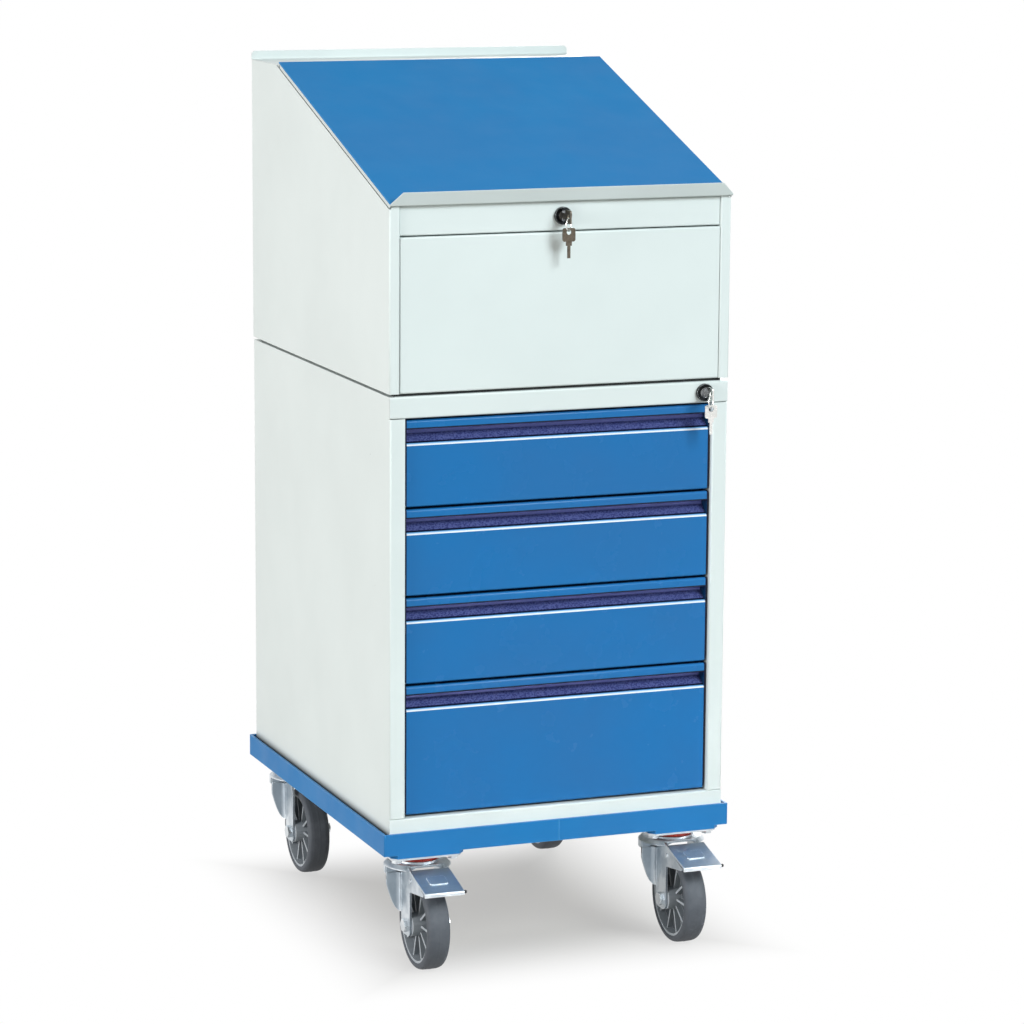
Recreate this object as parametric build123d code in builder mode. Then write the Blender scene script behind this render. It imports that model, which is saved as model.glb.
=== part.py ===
from build123d import *
import os
from math import cos, radians, sin, tan

# A mobile workshop desk: a sloped-lid writing desk on a four-drawer cabinet on a castor base.
# Millimetres. The front faces -Y, +X is to the right seen from the front, the floor is Z 0.

os.makedirs("parts", exist_ok=True)

# Folded sheet steel
SHEET = 1.5
BEND = 2.5
SEAM = 0.6
SIDE_FIT = 0.2

# Castor base
CABINET_W = 486.0
CABINET_D = 597.0
ANGLE_LEG = 30.0
ANGLE_T = 3.0
BASE_SIDE_GAP = 6.0
BASE_END_GAP = 0.5
BASE_CORNER_R = 1.5
CASTOR_SIDE_INSET = 64.0
SWIVEL_INSET = 47.0
PAD_T = 5.0
PAD_EDGE = 2.0
PAD_CUT = 8.0

# Castors
CASTOR_H = 160.0
WHEEL_D = 125.0
TRAIL = 30.0
TYRE_W = 32.0
TYRE_SHOULDER = 5.0
RIM_D = 107.0
RIM_T = 3.5
RIM_W = 29.0
WEB_T = 5.0
BOSS_R = 16.0
RIB_COUNT = 10
RIB_T = 3.2
RIB_W = 21.0
WHEEL_END_PLAY = 0.5
AXLE_D = 10.0
HEX_AF = 16.0
HEAD_T = 6.5
NUT_T = 8.0
FORK_GAP = 45.0
FORK_T = 3.0
FORK_DROP = 15.0
LEG_AHEAD = 11.0
LEG_BEHIND = 29.0
LEG_BELOW = 15.0
LEG_ROUND = 9.0
FLANGE_BEND = 6.0
FLANGE_FULL = 30.0
FLANGE_END = 70.0
FLANGE_SWEEP = 25.0
HEAD_R = 46.0
HEAD_BEND = 6.0
HEAD_DEPTH = 16.0
HEAD_AHEAD = 36.0
SHOULDER_DROP = 34.0
HEAD_DISC_R = 30.0
HEAD_DISC_T = 2.5
PLATE_EDGE_X = 10.0
PLATE_EDGE_Y = 12.5
PLATE_T = 4.0
PLATE_CUT = 6.0
BOLT_SPAN_X = 80.0
BOLT_SPAN_Y = 60.0
BOLT_AF = 13.0
BOLT_HEAD_T = 5.3
RACE_R = 22.0
SEAL_R = 28.0
SEAL_H = 6.0
SWIVEL_GAP = 0.3
KING_D = 12.0
KING_HEAD_R = 11.0
KING_HEAD_T = 4.0
RUNNING = 0.05

# Brake pedals on the front castors
PEDAL_REACH = 109.0
PEDAL_W = 56.0
PEDAL_T = 2.5
PEDAL_NOSE = 5.5
PEDAL_DROP = 33.5
PEDAL_LEN = 61.0
PEDAL_SLOPE = 15.0
PEDAL_BEND = 3.0
PEDAL_SWING = 5.0
PEDAL_FIT = 1.0
CHEEK_REACH = 96.0
CHEEK_LOW = 34.0
CHEEK_RISE = 7.0
PIVOT_Y = 43.0
PIVOT_DROP = 18.0
PIVOT_R = 3.0
PIVOT_HEAD = 1.5
LUG_T = 2.5
LUG_R = 6.0
LUG_FIT = 2.0
TREAD_W = 26.0
TREAD_L = 20.0
TREAD_H = 1.6
TREAD_R = 3.0

# Cabinet carcass
BOTTOM_RAIL_H = 46.5
TOP_RAIL_H = 29.0
STILE_W = 22.0
RAIL_RETURN = 16.0
BACK_FLANGE = 20.0

# Drawers
DRAWER_H = 120.0
DEEP_DRAWER_H = 180.0
FRONT_GAP = 3.0
FRONT_SIDE_GAP = 2.0
FRONT_RECESS = 6.0
FRONT_CORNER_R = 5.0
STRIP_H = 12.5
GRIP_H = 33.0
GRIP_D = 18.0
GRIP_RISE = 13.0
BOX_SIDE_ROOM = 19.0
BOX_D = 540.0
BOX_ABOVE_GAP = 42.0
BOX_BELOW = 10.0
RUNNER_FIT = 0.5
RUNNER_LAP = 3.0
RUNNER_WEB = 28.0
RUNNER_START = 30.0
RUNNER_LEN = 545.0

# Desk
DESK_OVERSAIL = 1.0
SPACER_T = 4.0
SPACER_INSET = 8.0
SPACER_BAND = 24.0
DESK_FRONT_H = 250.5
DESK_STILE = 15.0
DESK_RETURN = 12.0
PANEL_INSET = 1.0
PANEL_GAP = 1.8
PANEL_SIDE_GAP = 0.8
LOCK_RAIL_INSET = 3.0
LOCK_RAIL_D = 20.0
LOCK_RAIL_H = 40.0
LID_RUN = 474.0
LID_SLOPE = 18.1
LID_OVERHANG = 6.0
LID_EDGE = 7.0
LID_GAP = 1.8
LIP_H = 16.0
TOP_SHEET_T = 2.0
SURFACE_FIT = 1.1
LID_FLANGE = 9.0
SHELF_DROP = 4.0
SHELF_FLANGE = 12.0
REAR_RAIL_H = 12.0
REAR_RAIL_R = 6.0

# Lid hinge
HINGE_GAP = 8.0
HINGE_Y = 5.0
HINGE_DROP = 2.2
KNUCKLE_R = 2.4
HINGE_PIN_R = 1.0
LEAF_T = 1.2
LEAF_LEN = 6.0
KNUCKLES = 5
KNUCKLE_PLAY = 0.4
HINGE_END = 20.0

# Locks and keys
CABINET_LOCK_INSET = 35.0
COLLAR_R = 12.0
COLLAR_T = 5.0
COLLAR_EDGE = 1.5
BARREL_R = 9.0
BARREL_L = 26.0
PLUG_R = 6.5
PLUG_SUNK = 0.6
CAM_GAP = 2.0
CAM_T = 2.5
CAM_W = 11.0
CAM_L = 21.0
KEY_T = 2.0
KEY_FIT = 0.1
BLADE_W = 7.0
BLADE_L = 20.0
NECK_W = 8.0
NECK_L = 8.0
BOW_W = 18.0
BOW_L = 18.0
BOW_R = 3.0
KEY_HOLE_R = 3.5
INSERTED_HOLE = 7.0
SPARE_HOLE = 5.5
RING_R = 8.5
RING_WIRE = 1.5
RING_SLACK = 1.4
RING_TURN = 45.0
SPARE_BLADE_W = 4.0
SPARE_BLADE_L = 18.0
SPARE_NECK_L = 4.0

# Places worked out from the sizes above
BASE_W = CABINET_W + 2 * (BASE_SIDE_GAP + ANGLE_T)
BASE_D = CABINET_D + 2 * (BASE_END_GAP + ANGLE_T)
CASTOR_X = BASE_W / 2 - CASTOR_SIDE_INSET
PEDAL_AHEAD = PEDAL_REACH - SWIVEL_INSET
BASE_BACK_Y = (BASE_D + PEDAL_AHEAD) / 2
BASE_FRONT_Y = BASE_BACK_Y - BASE_D
BASE_Y = (BASE_FRONT_Y + BASE_BACK_Y) / 2
FRONT_Y = BASE_FRONT_Y + ANGLE_T + BASE_END_GAP
BACK_Y = FRONT_Y + CABINET_D
BASE_Z = CASTOR_H + PAD_T
SEAT_Z = BASE_Z + ANGLE_T

WHEEL_R = WHEEL_D / 2
RIM_R = RIM_D / 2
FORK_W = FORK_GAP + 2 * FORK_T
FORK_TOP = CASTOR_H - FORK_DROP
RACE_LOW = FORK_TOP + HEAD_DISC_T + SWIVEL_GAP
PEDAL_TIP_Z = CASTOR_H - PEDAL_DROP
PEDAL_REAR = PEDAL_REACH - PEDAL_LEN
PIVOT_Z = FORK_TOP - PIVOT_DROP
PLATE_W = BOLT_SPAN_X + 2 * PLATE_EDGE_X
PLATE_D = BOLT_SPAN_Y + 2 * PLATE_EDGE_Y
PAD_W = PLATE_W + 2 * PAD_EDGE
PAD_D = 2 * SWIVEL_INSET
LEG_LOW_Z = WHEEL_R - LEG_BELOW
FRONT_SWIVEL_Y = BASE_FRONT_Y + SWIVEL_INSET
BACK_SWIVEL_Y = BASE_BACK_Y - SWIVEL_INSET
CASTORS = {
    "front_left": (-CASTOR_X, FRONT_SWIVEL_Y),
    "front_right": (CASTOR_X, FRONT_SWIVEL_Y),
    "back_left": (-CASTOR_X, BACK_SWIVEL_Y),
    "back_right": (CASTOR_X, BACK_SWIVEL_Y),
}
BRAKED = ("front_left", "front_right")
CASTOR_SPOTS = list(CASTORS.values())
BOLT_SPOTS = [
    (x + dx * BOLT_SPAN_X / 2, y + dy * BOLT_SPAN_Y / 2)
    for x, y in CASTOR_SPOTS
    for dx in (-1, 1)
    for dy in (-1, 1)
]

PITCHES = (DRAWER_H, DRAWER_H, DRAWER_H, DEEP_DRAWER_H)
OPEN_BOTTOM_Z = SEAT_Z + BOTTOM_RAIL_H
OPEN_TOP_Z = OPEN_BOTTOM_Z + sum(PITCHES) + FRONT_GAP
CABINET_TOP_Z = OPEN_TOP_Z + TOP_RAIL_H
OPEN_HALF_W = CABINET_W / 2 - STILE_W
DRAWER_FACE_Y = FRONT_Y + FRONT_RECESS
DRAWER_BACK_Y = DRAWER_FACE_Y + GRIP_D + SHEET
BOX_HALF_W = OPEN_HALF_W - BOX_SIDE_ROOM

DESK_W = CABINET_W + 2 * DESK_OVERSAIL
DESK_Z = CABINET_TOP_Z + SPACER_T
LID_FRONT_Y = FRONT_Y - LID_OVERHANG
LID_FRONT_Z = DESK_Z + DESK_FRONT_H
LID_BACK_Y = LID_FRONT_Y + LID_RUN
LID_BACK_Z = LID_FRONT_Z + LID_RUN * tan(radians(LID_SLOPE))
LID_LEN = LID_RUN / cos(radians(LID_SLOPE))
SLOPE_DIR = (0, cos(radians(LID_SLOPE)), sin(radians(LID_SLOPE)))
TRAY_LOW = TOP_SHEET_T + SHEET
LID_SECTION = Plane(origin=(0, LID_BACK_Y, LID_BACK_Z), x_dir=SLOPE_DIR, z_dir=(1, 0, 0))
SHELF_Z = LID_BACK_Z - SHELF_DROP
SHELF_FRONT_Y = LID_BACK_Y + HINGE_GAP
HINGE_AXIS_Y = LID_BACK_Y + HINGE_Y
HINGE_AXIS_Z = SHELF_Z - HINGE_DROP


def lid_height(y, below):
    """Height at y of the plane that lies the given distance below the lid's top face."""
    rise = (y - LID_FRONT_Y) * tan(radians(LID_SLOPE))
    return LID_FRONT_Z + rise - below / cos(radians(LID_SLOPE))


LOCK_RAIL_TOP = lid_height(FRONT_Y + LOCK_RAIL_INSET, TRAY_LOW + LID_GAP)
LOCK_RAIL_Z = LOCK_RAIL_TOP - LOCK_RAIL_H
PANEL_TOP_Z = LOCK_RAIL_Z - PANEL_GAP
LOCKS = {
    "desk": (0.0, FRONT_Y + LOCK_RAIL_INSET, (LOCK_RAIL_Z + LOCK_RAIL_TOP) / 2),
    "cabinet": (CABINET_W / 2 - CABINET_LOCK_INSET, FRONT_Y, (OPEN_TOP_Z + CABINET_TOP_Z) / 2),
}


def write(builder, node):
    """Labels a finished piece and writes its STEP file."""
    builder.part.label = node
    export_step(builder.part, f"parts/{node}.step")


def folded(plane, points, side, radius=BEND, thickness=SHEET):
    """Sketches a folded sheet: a line through the points with rounded folds, thickened to one side."""
    with BuildSketch(plane) as section:
        with BuildLine():
            FilletPolyline(*points, radius=radius)
            offset(amount=thickness, side=side)
        make_face()
    return section.sketch


def slab(low, high, mode=Mode.ADD):
    """A straight block between two opposite corners."""
    size = [b - a for a, b in zip(low, high)]
    middle = tuple((a + b) / 2 for a, b in zip(low, high))
    with Locations(middle):
        Box(*size, mode=mode)


# Base: a welded angle-iron ring with a bolting pad under each corner
with BuildPart() as base_frame:
    with BuildSketch(Plane.XY.offset(BASE_Z)):
        with Locations((0, BASE_Y)):
            Rectangle(BASE_W, BASE_D)
            Rectangle(BASE_W - 2 * ANGLE_LEG, BASE_D - 2 * ANGLE_LEG, mode=Mode.SUBTRACT)
    extrude(amount=ANGLE_T)
    with BuildSketch(Plane.XY.offset(BASE_Z)):
        with Locations((0, BASE_Y)):
            Rectangle(BASE_W, BASE_D)
            Rectangle(BASE_W - 2 * ANGLE_T, BASE_D - 2 * ANGLE_T, mode=Mode.SUBTRACT)
    extrude(amount=ANGLE_LEG)
    corners = base_frame.edges().filter_by(Axis.Z).filter_by(lambda e: e.length > ANGLE_LEG - ANGLE_T / 2)
    fillet(corners, BASE_CORNER_R)
    with BuildSketch(Plane.XY.offset(BASE_Z)) as pads:
        with Locations(*CASTOR_SPOTS):
            Rectangle(PAD_W, PAD_D)
        chamfer(pads.vertices(), PAD_CUT)
    extrude(amount=-PAD_T)
write(base_frame, "base_frame")

# Castor heads: bolted top plates with their bearing race, king pins, dust seals and bolt heads
with BuildPart() as castor_top_plates:
    with BuildSketch(Plane.XY.offset(CASTOR_H)) as plates:
        with Locations(*CASTOR_SPOTS):
            Rectangle(PLATE_W, PLATE_D)
        chamfer(plates.vertices(), PLATE_CUT)
    extrude(amount=-PLATE_T)
    with BuildSketch(Plane.XY.offset(CASTOR_H - PLATE_T)):
        with Locations(*CASTOR_SPOTS):
            Circle(RACE_R)
    extrude(amount=RACE_LOW - CASTOR_H + PLATE_T)
write(castor_top_plates, "castor_top_plates")

with BuildPart() as castor_king_pins:
    head_z = FORK_TOP - FORK_T - SWIVEL_GAP
    with BuildSketch(Plane.XY.offset(RACE_LOW)):
        with Locations(*CASTOR_SPOTS):
            Circle(KING_D / 2)
    extrude(amount=head_z - RACE_LOW)
    with BuildSketch(Plane.XY.offset(head_z)):
        with Locations(*CASTOR_SPOTS):
            Circle(KING_HEAD_R)
    extrude(amount=-KING_HEAD_T)
write(castor_king_pins, "castor_king_pins")

with BuildPart() as castor_seals:
    with BuildSketch(Plane.XY.offset(RACE_LOW)):
        with Locations(*CASTOR_SPOTS):
            Circle(SEAL_R)
            Circle(RACE_R, mode=Mode.SUBTRACT)
    extrude(amount=SEAL_H)
write(castor_seals, "castor_seals")

with BuildPart() as castor_bolts:
    with BuildSketch(Plane.XY.offset(CASTOR_H - PLATE_T)):
        with Locations(*BOLT_SPOTS):
            RegularPolygon(BOLT_AF / 2, 6, major_radius=False)
    extrude(amount=-BOLT_HEAD_T)
write(castor_bolts, "castor_bolts")


def pedal_height(ahead):
    """Height of the brake pedal's top face at a distance ahead of the swivel axis."""
    return PEDAL_TIP_Z + (PEDAL_REACH - ahead) * tan(radians(PEDAL_SLOPE))


def cheek_height(ahead):
    """Height of the fork cheek's top edge, low enough for the pedal to swing down above it."""
    under = pedal_height(ahead) - PEDAL_T / cos(radians(PEDAL_SLOPE)) - PEDAL_FIT
    return under - (ahead - PIVOT_Y) * tan(radians(PEDAL_SWING))


def fork_legs(spot, front):
    """Both legs of a fork: flat cheeks that turn outward behind the axle into flanges that sweep down."""
    x, y = spot
    axle_y = y - TRAIL
    crease_y = axle_y + LEG_BEHIND
    leg_front = axle_y - LEG_AHEAD
    leg_rear = crease_y - FLANGE_BEND
    full_z = FORK_TOP - FLANGE_FULL
    end_z = FORK_TOP - FLANGE_END
    buried = FORK_T / 2
    top_z = FORK_TOP - buried
    reach = HEAD_R - buried
    with BuildPart() as legs:
        for side in (-1, 1):
            face_x = x + side * FORK_W / 2
            plan = [(face_x, y - PEDAL_REACH), (face_x, crease_y), (x + side * reach, crease_y)]
            inward = Side.LEFT if side > 0 else Side.RIGHT
            section = folded(Plane.XY.offset(LEG_LOW_Z), plan, inward, FLANGE_BEND, FORK_T)
            extrude(section, amount=top_z - LEG_LOW_Z)
        with BuildSketch(Plane.YZ.offset(x)) as outline:
            with BuildLine():
                Polyline(
                    (leg_front, LEG_LOW_Z),
                    *front,
                    (y - HEAD_AHEAD + buried, top_z),
                    (crease_y + FORK_T, top_z),
                    (crease_y + FORK_T, full_z),
                    (leg_rear, end_z),
                    (leg_rear, LEG_LOW_Z),
                    close=True,
                )
            make_face()
            fillet(outline.vertices().group_by(Axis.Y)[0], LEG_ROUND)
        extrude(amount=HEAD_R, both=True, mode=Mode.INTERSECT)
        with BuildSketch(Plane.XZ.offset(-y)) as sweep:
            with BuildLine():
                Polyline(
                    (x - FORK_W / 2, LEG_LOW_Z),
                    (x - FORK_W / 2, end_z),
                    (x - reach, full_z),
                    (x - reach, top_z),
                    (x + reach, top_z),
                    (x + reach, full_z),
                    (x + FORK_W / 2, end_z),
                    (x + FORK_W / 2, LEG_LOW_Z),
                    close=True,
                )
            make_face()
            levels = sweep.vertices().group_by(Axis.Y)
            fillet(levels[1] + levels[2], FLANGE_SWEEP)
            chamfer(sweep.vertices().group_by(Axis.Y)[-1], HEAD_BEND)
        extrude(amount=PEDAL_REACH, both=True, mode=Mode.INTERSECT)
    return legs.part


def fork(spot, braked):
    """Pressed steel fork: a dished head on two flanged legs, with cheeks for a brake pedal."""
    x, y = spot
    axle_y = y - TRAIL
    leg_front = axle_y - LEG_AHEAD
    if braked:
        front = [
            (leg_front, FORK_TOP - CHEEK_LOW),
            (y - CHEEK_REACH + CHEEK_RISE / 2, FORK_TOP - CHEEK_LOW + CHEEK_RISE),
            (y - CHEEK_REACH, cheek_height(CHEEK_REACH)),
            (y - PEDAL_REAR + PEDAL_FIT, cheek_height(PEDAL_REAR)),
        ]
    else:
        front = [(leg_front, FORK_TOP - SHOULDER_DROP)]
    with BuildPart() as piece:
        rim_low = FORK_TOP - HEAD_DEPTH
        rim_start = LEG_BEHIND - TRAIL + FORK_T / 2
        with BuildSketch(Plane(origin=(x, y, 0), x_dir=(1, 0, 0), z_dir=(0, -1, 0))):
            with BuildLine():
                Polyline(
                    (0, FORK_TOP),
                    (HEAD_R - HEAD_BEND, FORK_TOP),
                    (HEAD_R, FORK_TOP - HEAD_BEND),
                    (HEAD_R, rim_low),
                    (HEAD_R - FORK_T, rim_low),
                    (HEAD_R - FORK_T, FORK_TOP - HEAD_BEND - FORK_T / 2),
                    (HEAD_R - HEAD_BEND - FORK_T / 2, FORK_TOP - FORK_T),
                    (0, FORK_TOP - FORK_T),
                    close=True,
                )
            make_face()
        revolve(axis=Axis((x, y, 0), (0, 0, 1)))
        for behind_y, high_z in ((-HEAD_AHEAD, FORK_TOP), (rim_start, FORK_TOP - HEAD_BEND)):
            slab((x - HEAD_R, y - HEAD_R, rim_low), (x + HEAD_R, y + behind_y, high_z), Mode.SUBTRACT)
        add(fork_legs(spot, front))
        with BuildSketch(Plane.XY.offset(FORK_TOP)):
            with Locations((x, y)):
                Circle(HEAD_DISC_R)
        extrude(amount=HEAD_DISC_T)
        with BuildSketch(Plane.YZ.offset(x)):
            with Locations((axle_y, WHEEL_R)):
                Circle(AXLE_D / 2)
            if braked:
                with Locations((y - PIVOT_Y, PIVOT_Z)):
                    Circle(PIVOT_R + RUNNING)
        extrude(amount=FORK_W, both=True, mode=Mode.SUBTRACT)
        with BuildSketch(Plane.XY.offset(RACE_LOW)):
            with Locations((x, y)):
                Circle(KING_D / 2 + RUNNING)
        extrude(amount=-HEAD_DISC_T - 2 * FORK_T, mode=Mode.SUBTRACT)
    return piece


def axle(spot):
    """Hexagon bolt through both fork legs, with its nut run up on the other side."""
    x, y = spot
    with BuildPart() as piece:
        for face_x, length in ((x - FORK_W / 2, -HEAD_T), (x + FORK_W / 2, NUT_T)):
            with BuildSketch(Plane.YZ.offset(face_x)):
                with Locations((y - TRAIL, WHEEL_R)):
                    RegularPolygon(HEX_AF / 2, 6, major_radius=False)
            extrude(amount=length)
        with BuildSketch(Plane.YZ.offset(x - FORK_W / 2)):
            with Locations((y - TRAIL, WHEEL_R)):
                Circle(AXLE_D / 2)
        extrude(amount=FORK_W + NUT_T + SHEET)
    return piece


def hub(spot):
    """Wheel centre: rim, thin web and boss in one turned form, with radial ribs on both sides."""
    x, y = spot
    centre = (x, y - TRAIL, WHEEL_R)
    boss_w = FORK_GAP - 2 * WHEEL_END_PLAY
    bore_r = AXLE_D / 2 + RUNNING
    rim_in = RIM_R - RIM_T
    with BuildPart() as piece:
        with BuildSketch(Plane(origin=centre, x_dir=(1, 0, 0), z_dir=(0, -1, 0))):
            with Locations((0, (bore_r + BOSS_R) / 2)):
                Rectangle(boss_w, BOSS_R - bore_r)
            with Locations((0, (bore_r + RIM_R) / 2)):
                Rectangle(WEB_T, RIM_R - bore_r)
            with Locations((0, (rim_in + RIM_R) / 2)):
                Rectangle(RIM_W, RIM_T)
        revolve(axis=Axis(centre, (1, 0, 0)))
        with BuildSketch(Plane(origin=centre, x_dir=(0, 1, 0), z_dir=(1, 0, 0))):
            with PolarLocations((BOSS_R + rim_in) / 2, RIB_COUNT):
                Rectangle(rim_in - BOSS_R + RIM_T, RIB_T)
        extrude(amount=RIB_W / 2, both=True)
    return piece


def tyre(spot):
    """Solid tyre with rounded shoulders, turned about the axle."""
    x, y = spot
    centre = (x, y - TRAIL, WHEEL_R)
    with BuildPart() as piece:
        with BuildSketch(Plane(origin=centre, x_dir=(1, 0, 0), z_dir=(0, -1, 0))) as section:
            with Locations((0, (RIM_R + WHEEL_R) / 2)):
                Rectangle(TYRE_W, WHEEL_R - RIM_R)
            chamfer(section.vertices().group_by(Axis.Y)[-1], TYRE_SHOULDER, 0.6 * TYRE_SHOULDER)
            chamfer(section.vertices().group_by(Axis.Y)[-1], 0.5 * TYRE_SHOULDER, 0.15 * TYRE_SHOULDER)
        revolve(axis=Axis(centre, (1, 0, 0)))
    return piece


def pedal(spot):
    """Brake pedal: a sloping tread plate with a turned-down nose, hung on two lugs with stub pivots."""
    x, y = spot
    tip_y = y - PEDAL_REACH
    rear_y = y - PEDAL_REAR
    lug_out = FORK_GAP / 2 - LUG_FIT
    with BuildPart() as piece:
        nose = [(tip_y, PEDAL_TIP_Z - PEDAL_NOSE), (tip_y, PEDAL_TIP_Z), (rear_y, pedal_height(PEDAL_REAR))]
        tread = folded(Plane.YZ.offset(x), nose, Side.RIGHT, PEDAL_BEND, PEDAL_T)
        extrude(tread, amount=PEDAL_W / 2, both=True)
        root_ahead = PEDAL_REAR + LUG_R
        root_z = pedal_height(root_ahead) - PEDAL_T / 2
        for side in (-1, 1):
            with BuildSketch(Plane.YZ.offset(x + side * lug_out)):
                with Locations((y - PIVOT_Y, PIVOT_Z)):
                    Circle(LUG_R)
                with Locations((y - root_ahead, root_z)):
                    Circle(PEDAL_T / 3)
                make_hull()
            extrude(amount=-side * LUG_T)
            with BuildSketch(Plane.YZ.offset(x + side * lug_out)):
                with Locations((y - PIVOT_Y, PIVOT_Z)):
                    Circle(PIVOT_R)
            extrude(amount=side * (LUG_FIT + FORK_T + PIVOT_HEAD))
        middle_ahead = (PEDAL_REACH + PEDAL_REAR) / 2
        slope = (0, cos(radians(PEDAL_SLOPE)), sin(radians(PEDAL_SLOPE)))
        upward = (0, -sin(radians(PEDAL_SLOPE)), cos(radians(PEDAL_SLOPE)))
        middle = (x, y - middle_ahead, pedal_height(middle_ahead))
        with BuildSketch(Plane(origin=middle, x_dir=slope, z_dir=upward)):
            RectangleRounded(TREAD_L, TREAD_W, TREAD_R)
        extrude(amount=TREAD_H)
    return piece


for place, spot in CASTORS.items():
    write(fork(spot, place in BRAKED), f"castor_fork_{place}")
    write(axle(spot), f"castor_axle_{place}")
    write(hub(spot), f"wheel_hub_{place}")
    write(tyre(spot), f"tyre_{place}")
for place in BRAKED:
    write(pedal(CASTORS[place]), f"brake_pedal_{place}")


def carcass_side(half_w, stile, front_return, low_z, top_z, sign):
    """Side panel folded round its front stile and back flange."""
    points = [
        (sign * (half_w - BACK_FLANGE), BACK_Y),
        (sign * half_w, BACK_Y),
        (sign * half_w, FRONT_Y),
        (sign * (half_w - stile), FRONT_Y),
        (sign * (half_w - stile), FRONT_Y + front_return),
    ]
    section = folded(Plane.XY.offset(low_z), points, Side.RIGHT if sign > 0 else Side.LEFT)
    extrude(section, amount=top_z - low_z)


# Cabinet: two sides with folded stiles, notched where the full-width rails cross them
for side_name, sign in (("left", -1), ("right", 1)):
    with BuildPart() as cabinet_side:
        carcass_side(CABINET_W / 2, STILE_W, RAIL_RETURN, SEAT_Z, CABINET_TOP_Z - SHEET, sign)
        outer = sign * (CABINET_W / 2 + SHEET)
        inner = sign * (CABINET_W / 2 - SHEET - SIDE_FIT)
        middle = sign * (OPEN_HALF_W - SHEET)
        for low_z, high_z in ((SEAT_Z, OPEN_BOTTOM_Z + SEAM), (OPEN_TOP_Z - SEAM, CABINET_TOP_Z)):
            for x_out, depth in ((outer, BEND), (inner, RAIL_RETURN + SEAM)):
                low = (min(x_out, middle), FRONT_Y - SHEET, low_z)
                high = (max(x_out, middle), FRONT_Y + depth, high_z)
                slab(low, high, Mode.SUBTRACT)
    write(cabinet_side, f"cabinet_{side_name}_side")


def trim_ends(half_w, low_z, high_z):
    """Cuts a full-width folded sheet back behind its front face, so it fits between the sides."""
    for sign in (-1, 1):
        near = sign * (half_w - SHEET - SIDE_FIT)
        far = sign * (half_w + SHEET)
        low = (min(near, far), FRONT_Y + BEND, low_z)
        high = (max(near, far), BACK_Y + BEND, high_z)
        slab(low, high, Mode.SUBTRACT)


with BuildPart() as cabinet_top:
    top_fold = [
        (FRONT_Y + RAIL_RETURN, OPEN_TOP_Z),
        (FRONT_Y, OPEN_TOP_Z),
        (FRONT_Y, CABINET_TOP_Z),
        (BACK_Y, CABINET_TOP_Z),
    ]
    extrude(folded(Plane.YZ, top_fold, Side.RIGHT), amount=CABINET_W / 2, both=True)
    trim_ends(CABINET_W / 2, OPEN_TOP_Z - SHEET, CABINET_TOP_Z - SHEET)
    lock_x, lock_y, lock_z = LOCKS["cabinet"]
    with BuildSketch(Plane.XZ.offset(-lock_y)):
        with Locations((lock_x, lock_z)):
            Circle(BARREL_R)
    extrude(amount=-BEND, mode=Mode.SUBTRACT)
write(cabinet_top, "cabinet_top")

with BuildPart() as cabinet_floor:
    floor_fold = [
        (BACK_Y - 2 * SHEET - SIDE_FIT, SEAT_Z),
        (FRONT_Y, SEAT_Z),
        (FRONT_Y, OPEN_BOTTOM_Z),
        (FRONT_Y + RAIL_RETURN, OPEN_BOTTOM_Z),
    ]
    extrude(folded(Plane.YZ, floor_fold, Side.RIGHT), amount=CABINET_W / 2, both=True)
    trim_ends(CABINET_W / 2, SEAT_Z - SHEET, OPEN_BOTTOM_Z + SHEET)
write(cabinet_floor, "cabinet_floor")

with BuildPart() as cabinet_back:
    back_half_w = CABINET_W / 2 - BEND - SIDE_FIT
    back_low = (-back_half_w, BACK_Y - 2 * SHEET, SEAT_Z)
    slab(back_low, (back_half_w, BACK_Y - SHEET, CABINET_TOP_Z - SHEET))
write(cabinet_back, "cabinet_back")


def drawer_levels():
    """Bottom and top height of each drawer front, from the top drawer down."""
    top = OPEN_TOP_Z - FRONT_GAP
    for pitch in PITCHES:
        yield top - pitch + FRONT_GAP, top
        top -= pitch


with BuildPart() as cabinet_runners:
    runner_plane = Plane.XZ.offset(-(FRONT_Y + RUNNER_START + RUNNER_LEN))
    for front_low, front_top in drawer_levels():
        ledge_z = front_top - BOX_ABOVE_GAP - RUNNER_FIT - SHEET
        for sign in (-1, 1):
            wall_x = sign * (CABINET_W / 2 - SHEET)
            rail = [
                (wall_x, ledge_z + RUNNER_WEB),
                (wall_x, ledge_z),
                (sign * (BOX_HALF_W + RUNNER_LAP), ledge_z),
            ]
            section = folded(runner_plane, rail, Side.RIGHT if sign > 0 else Side.LEFT)
            extrude(section, amount=RUNNER_LEN)
write(cabinet_runners, "cabinet_runners")


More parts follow.
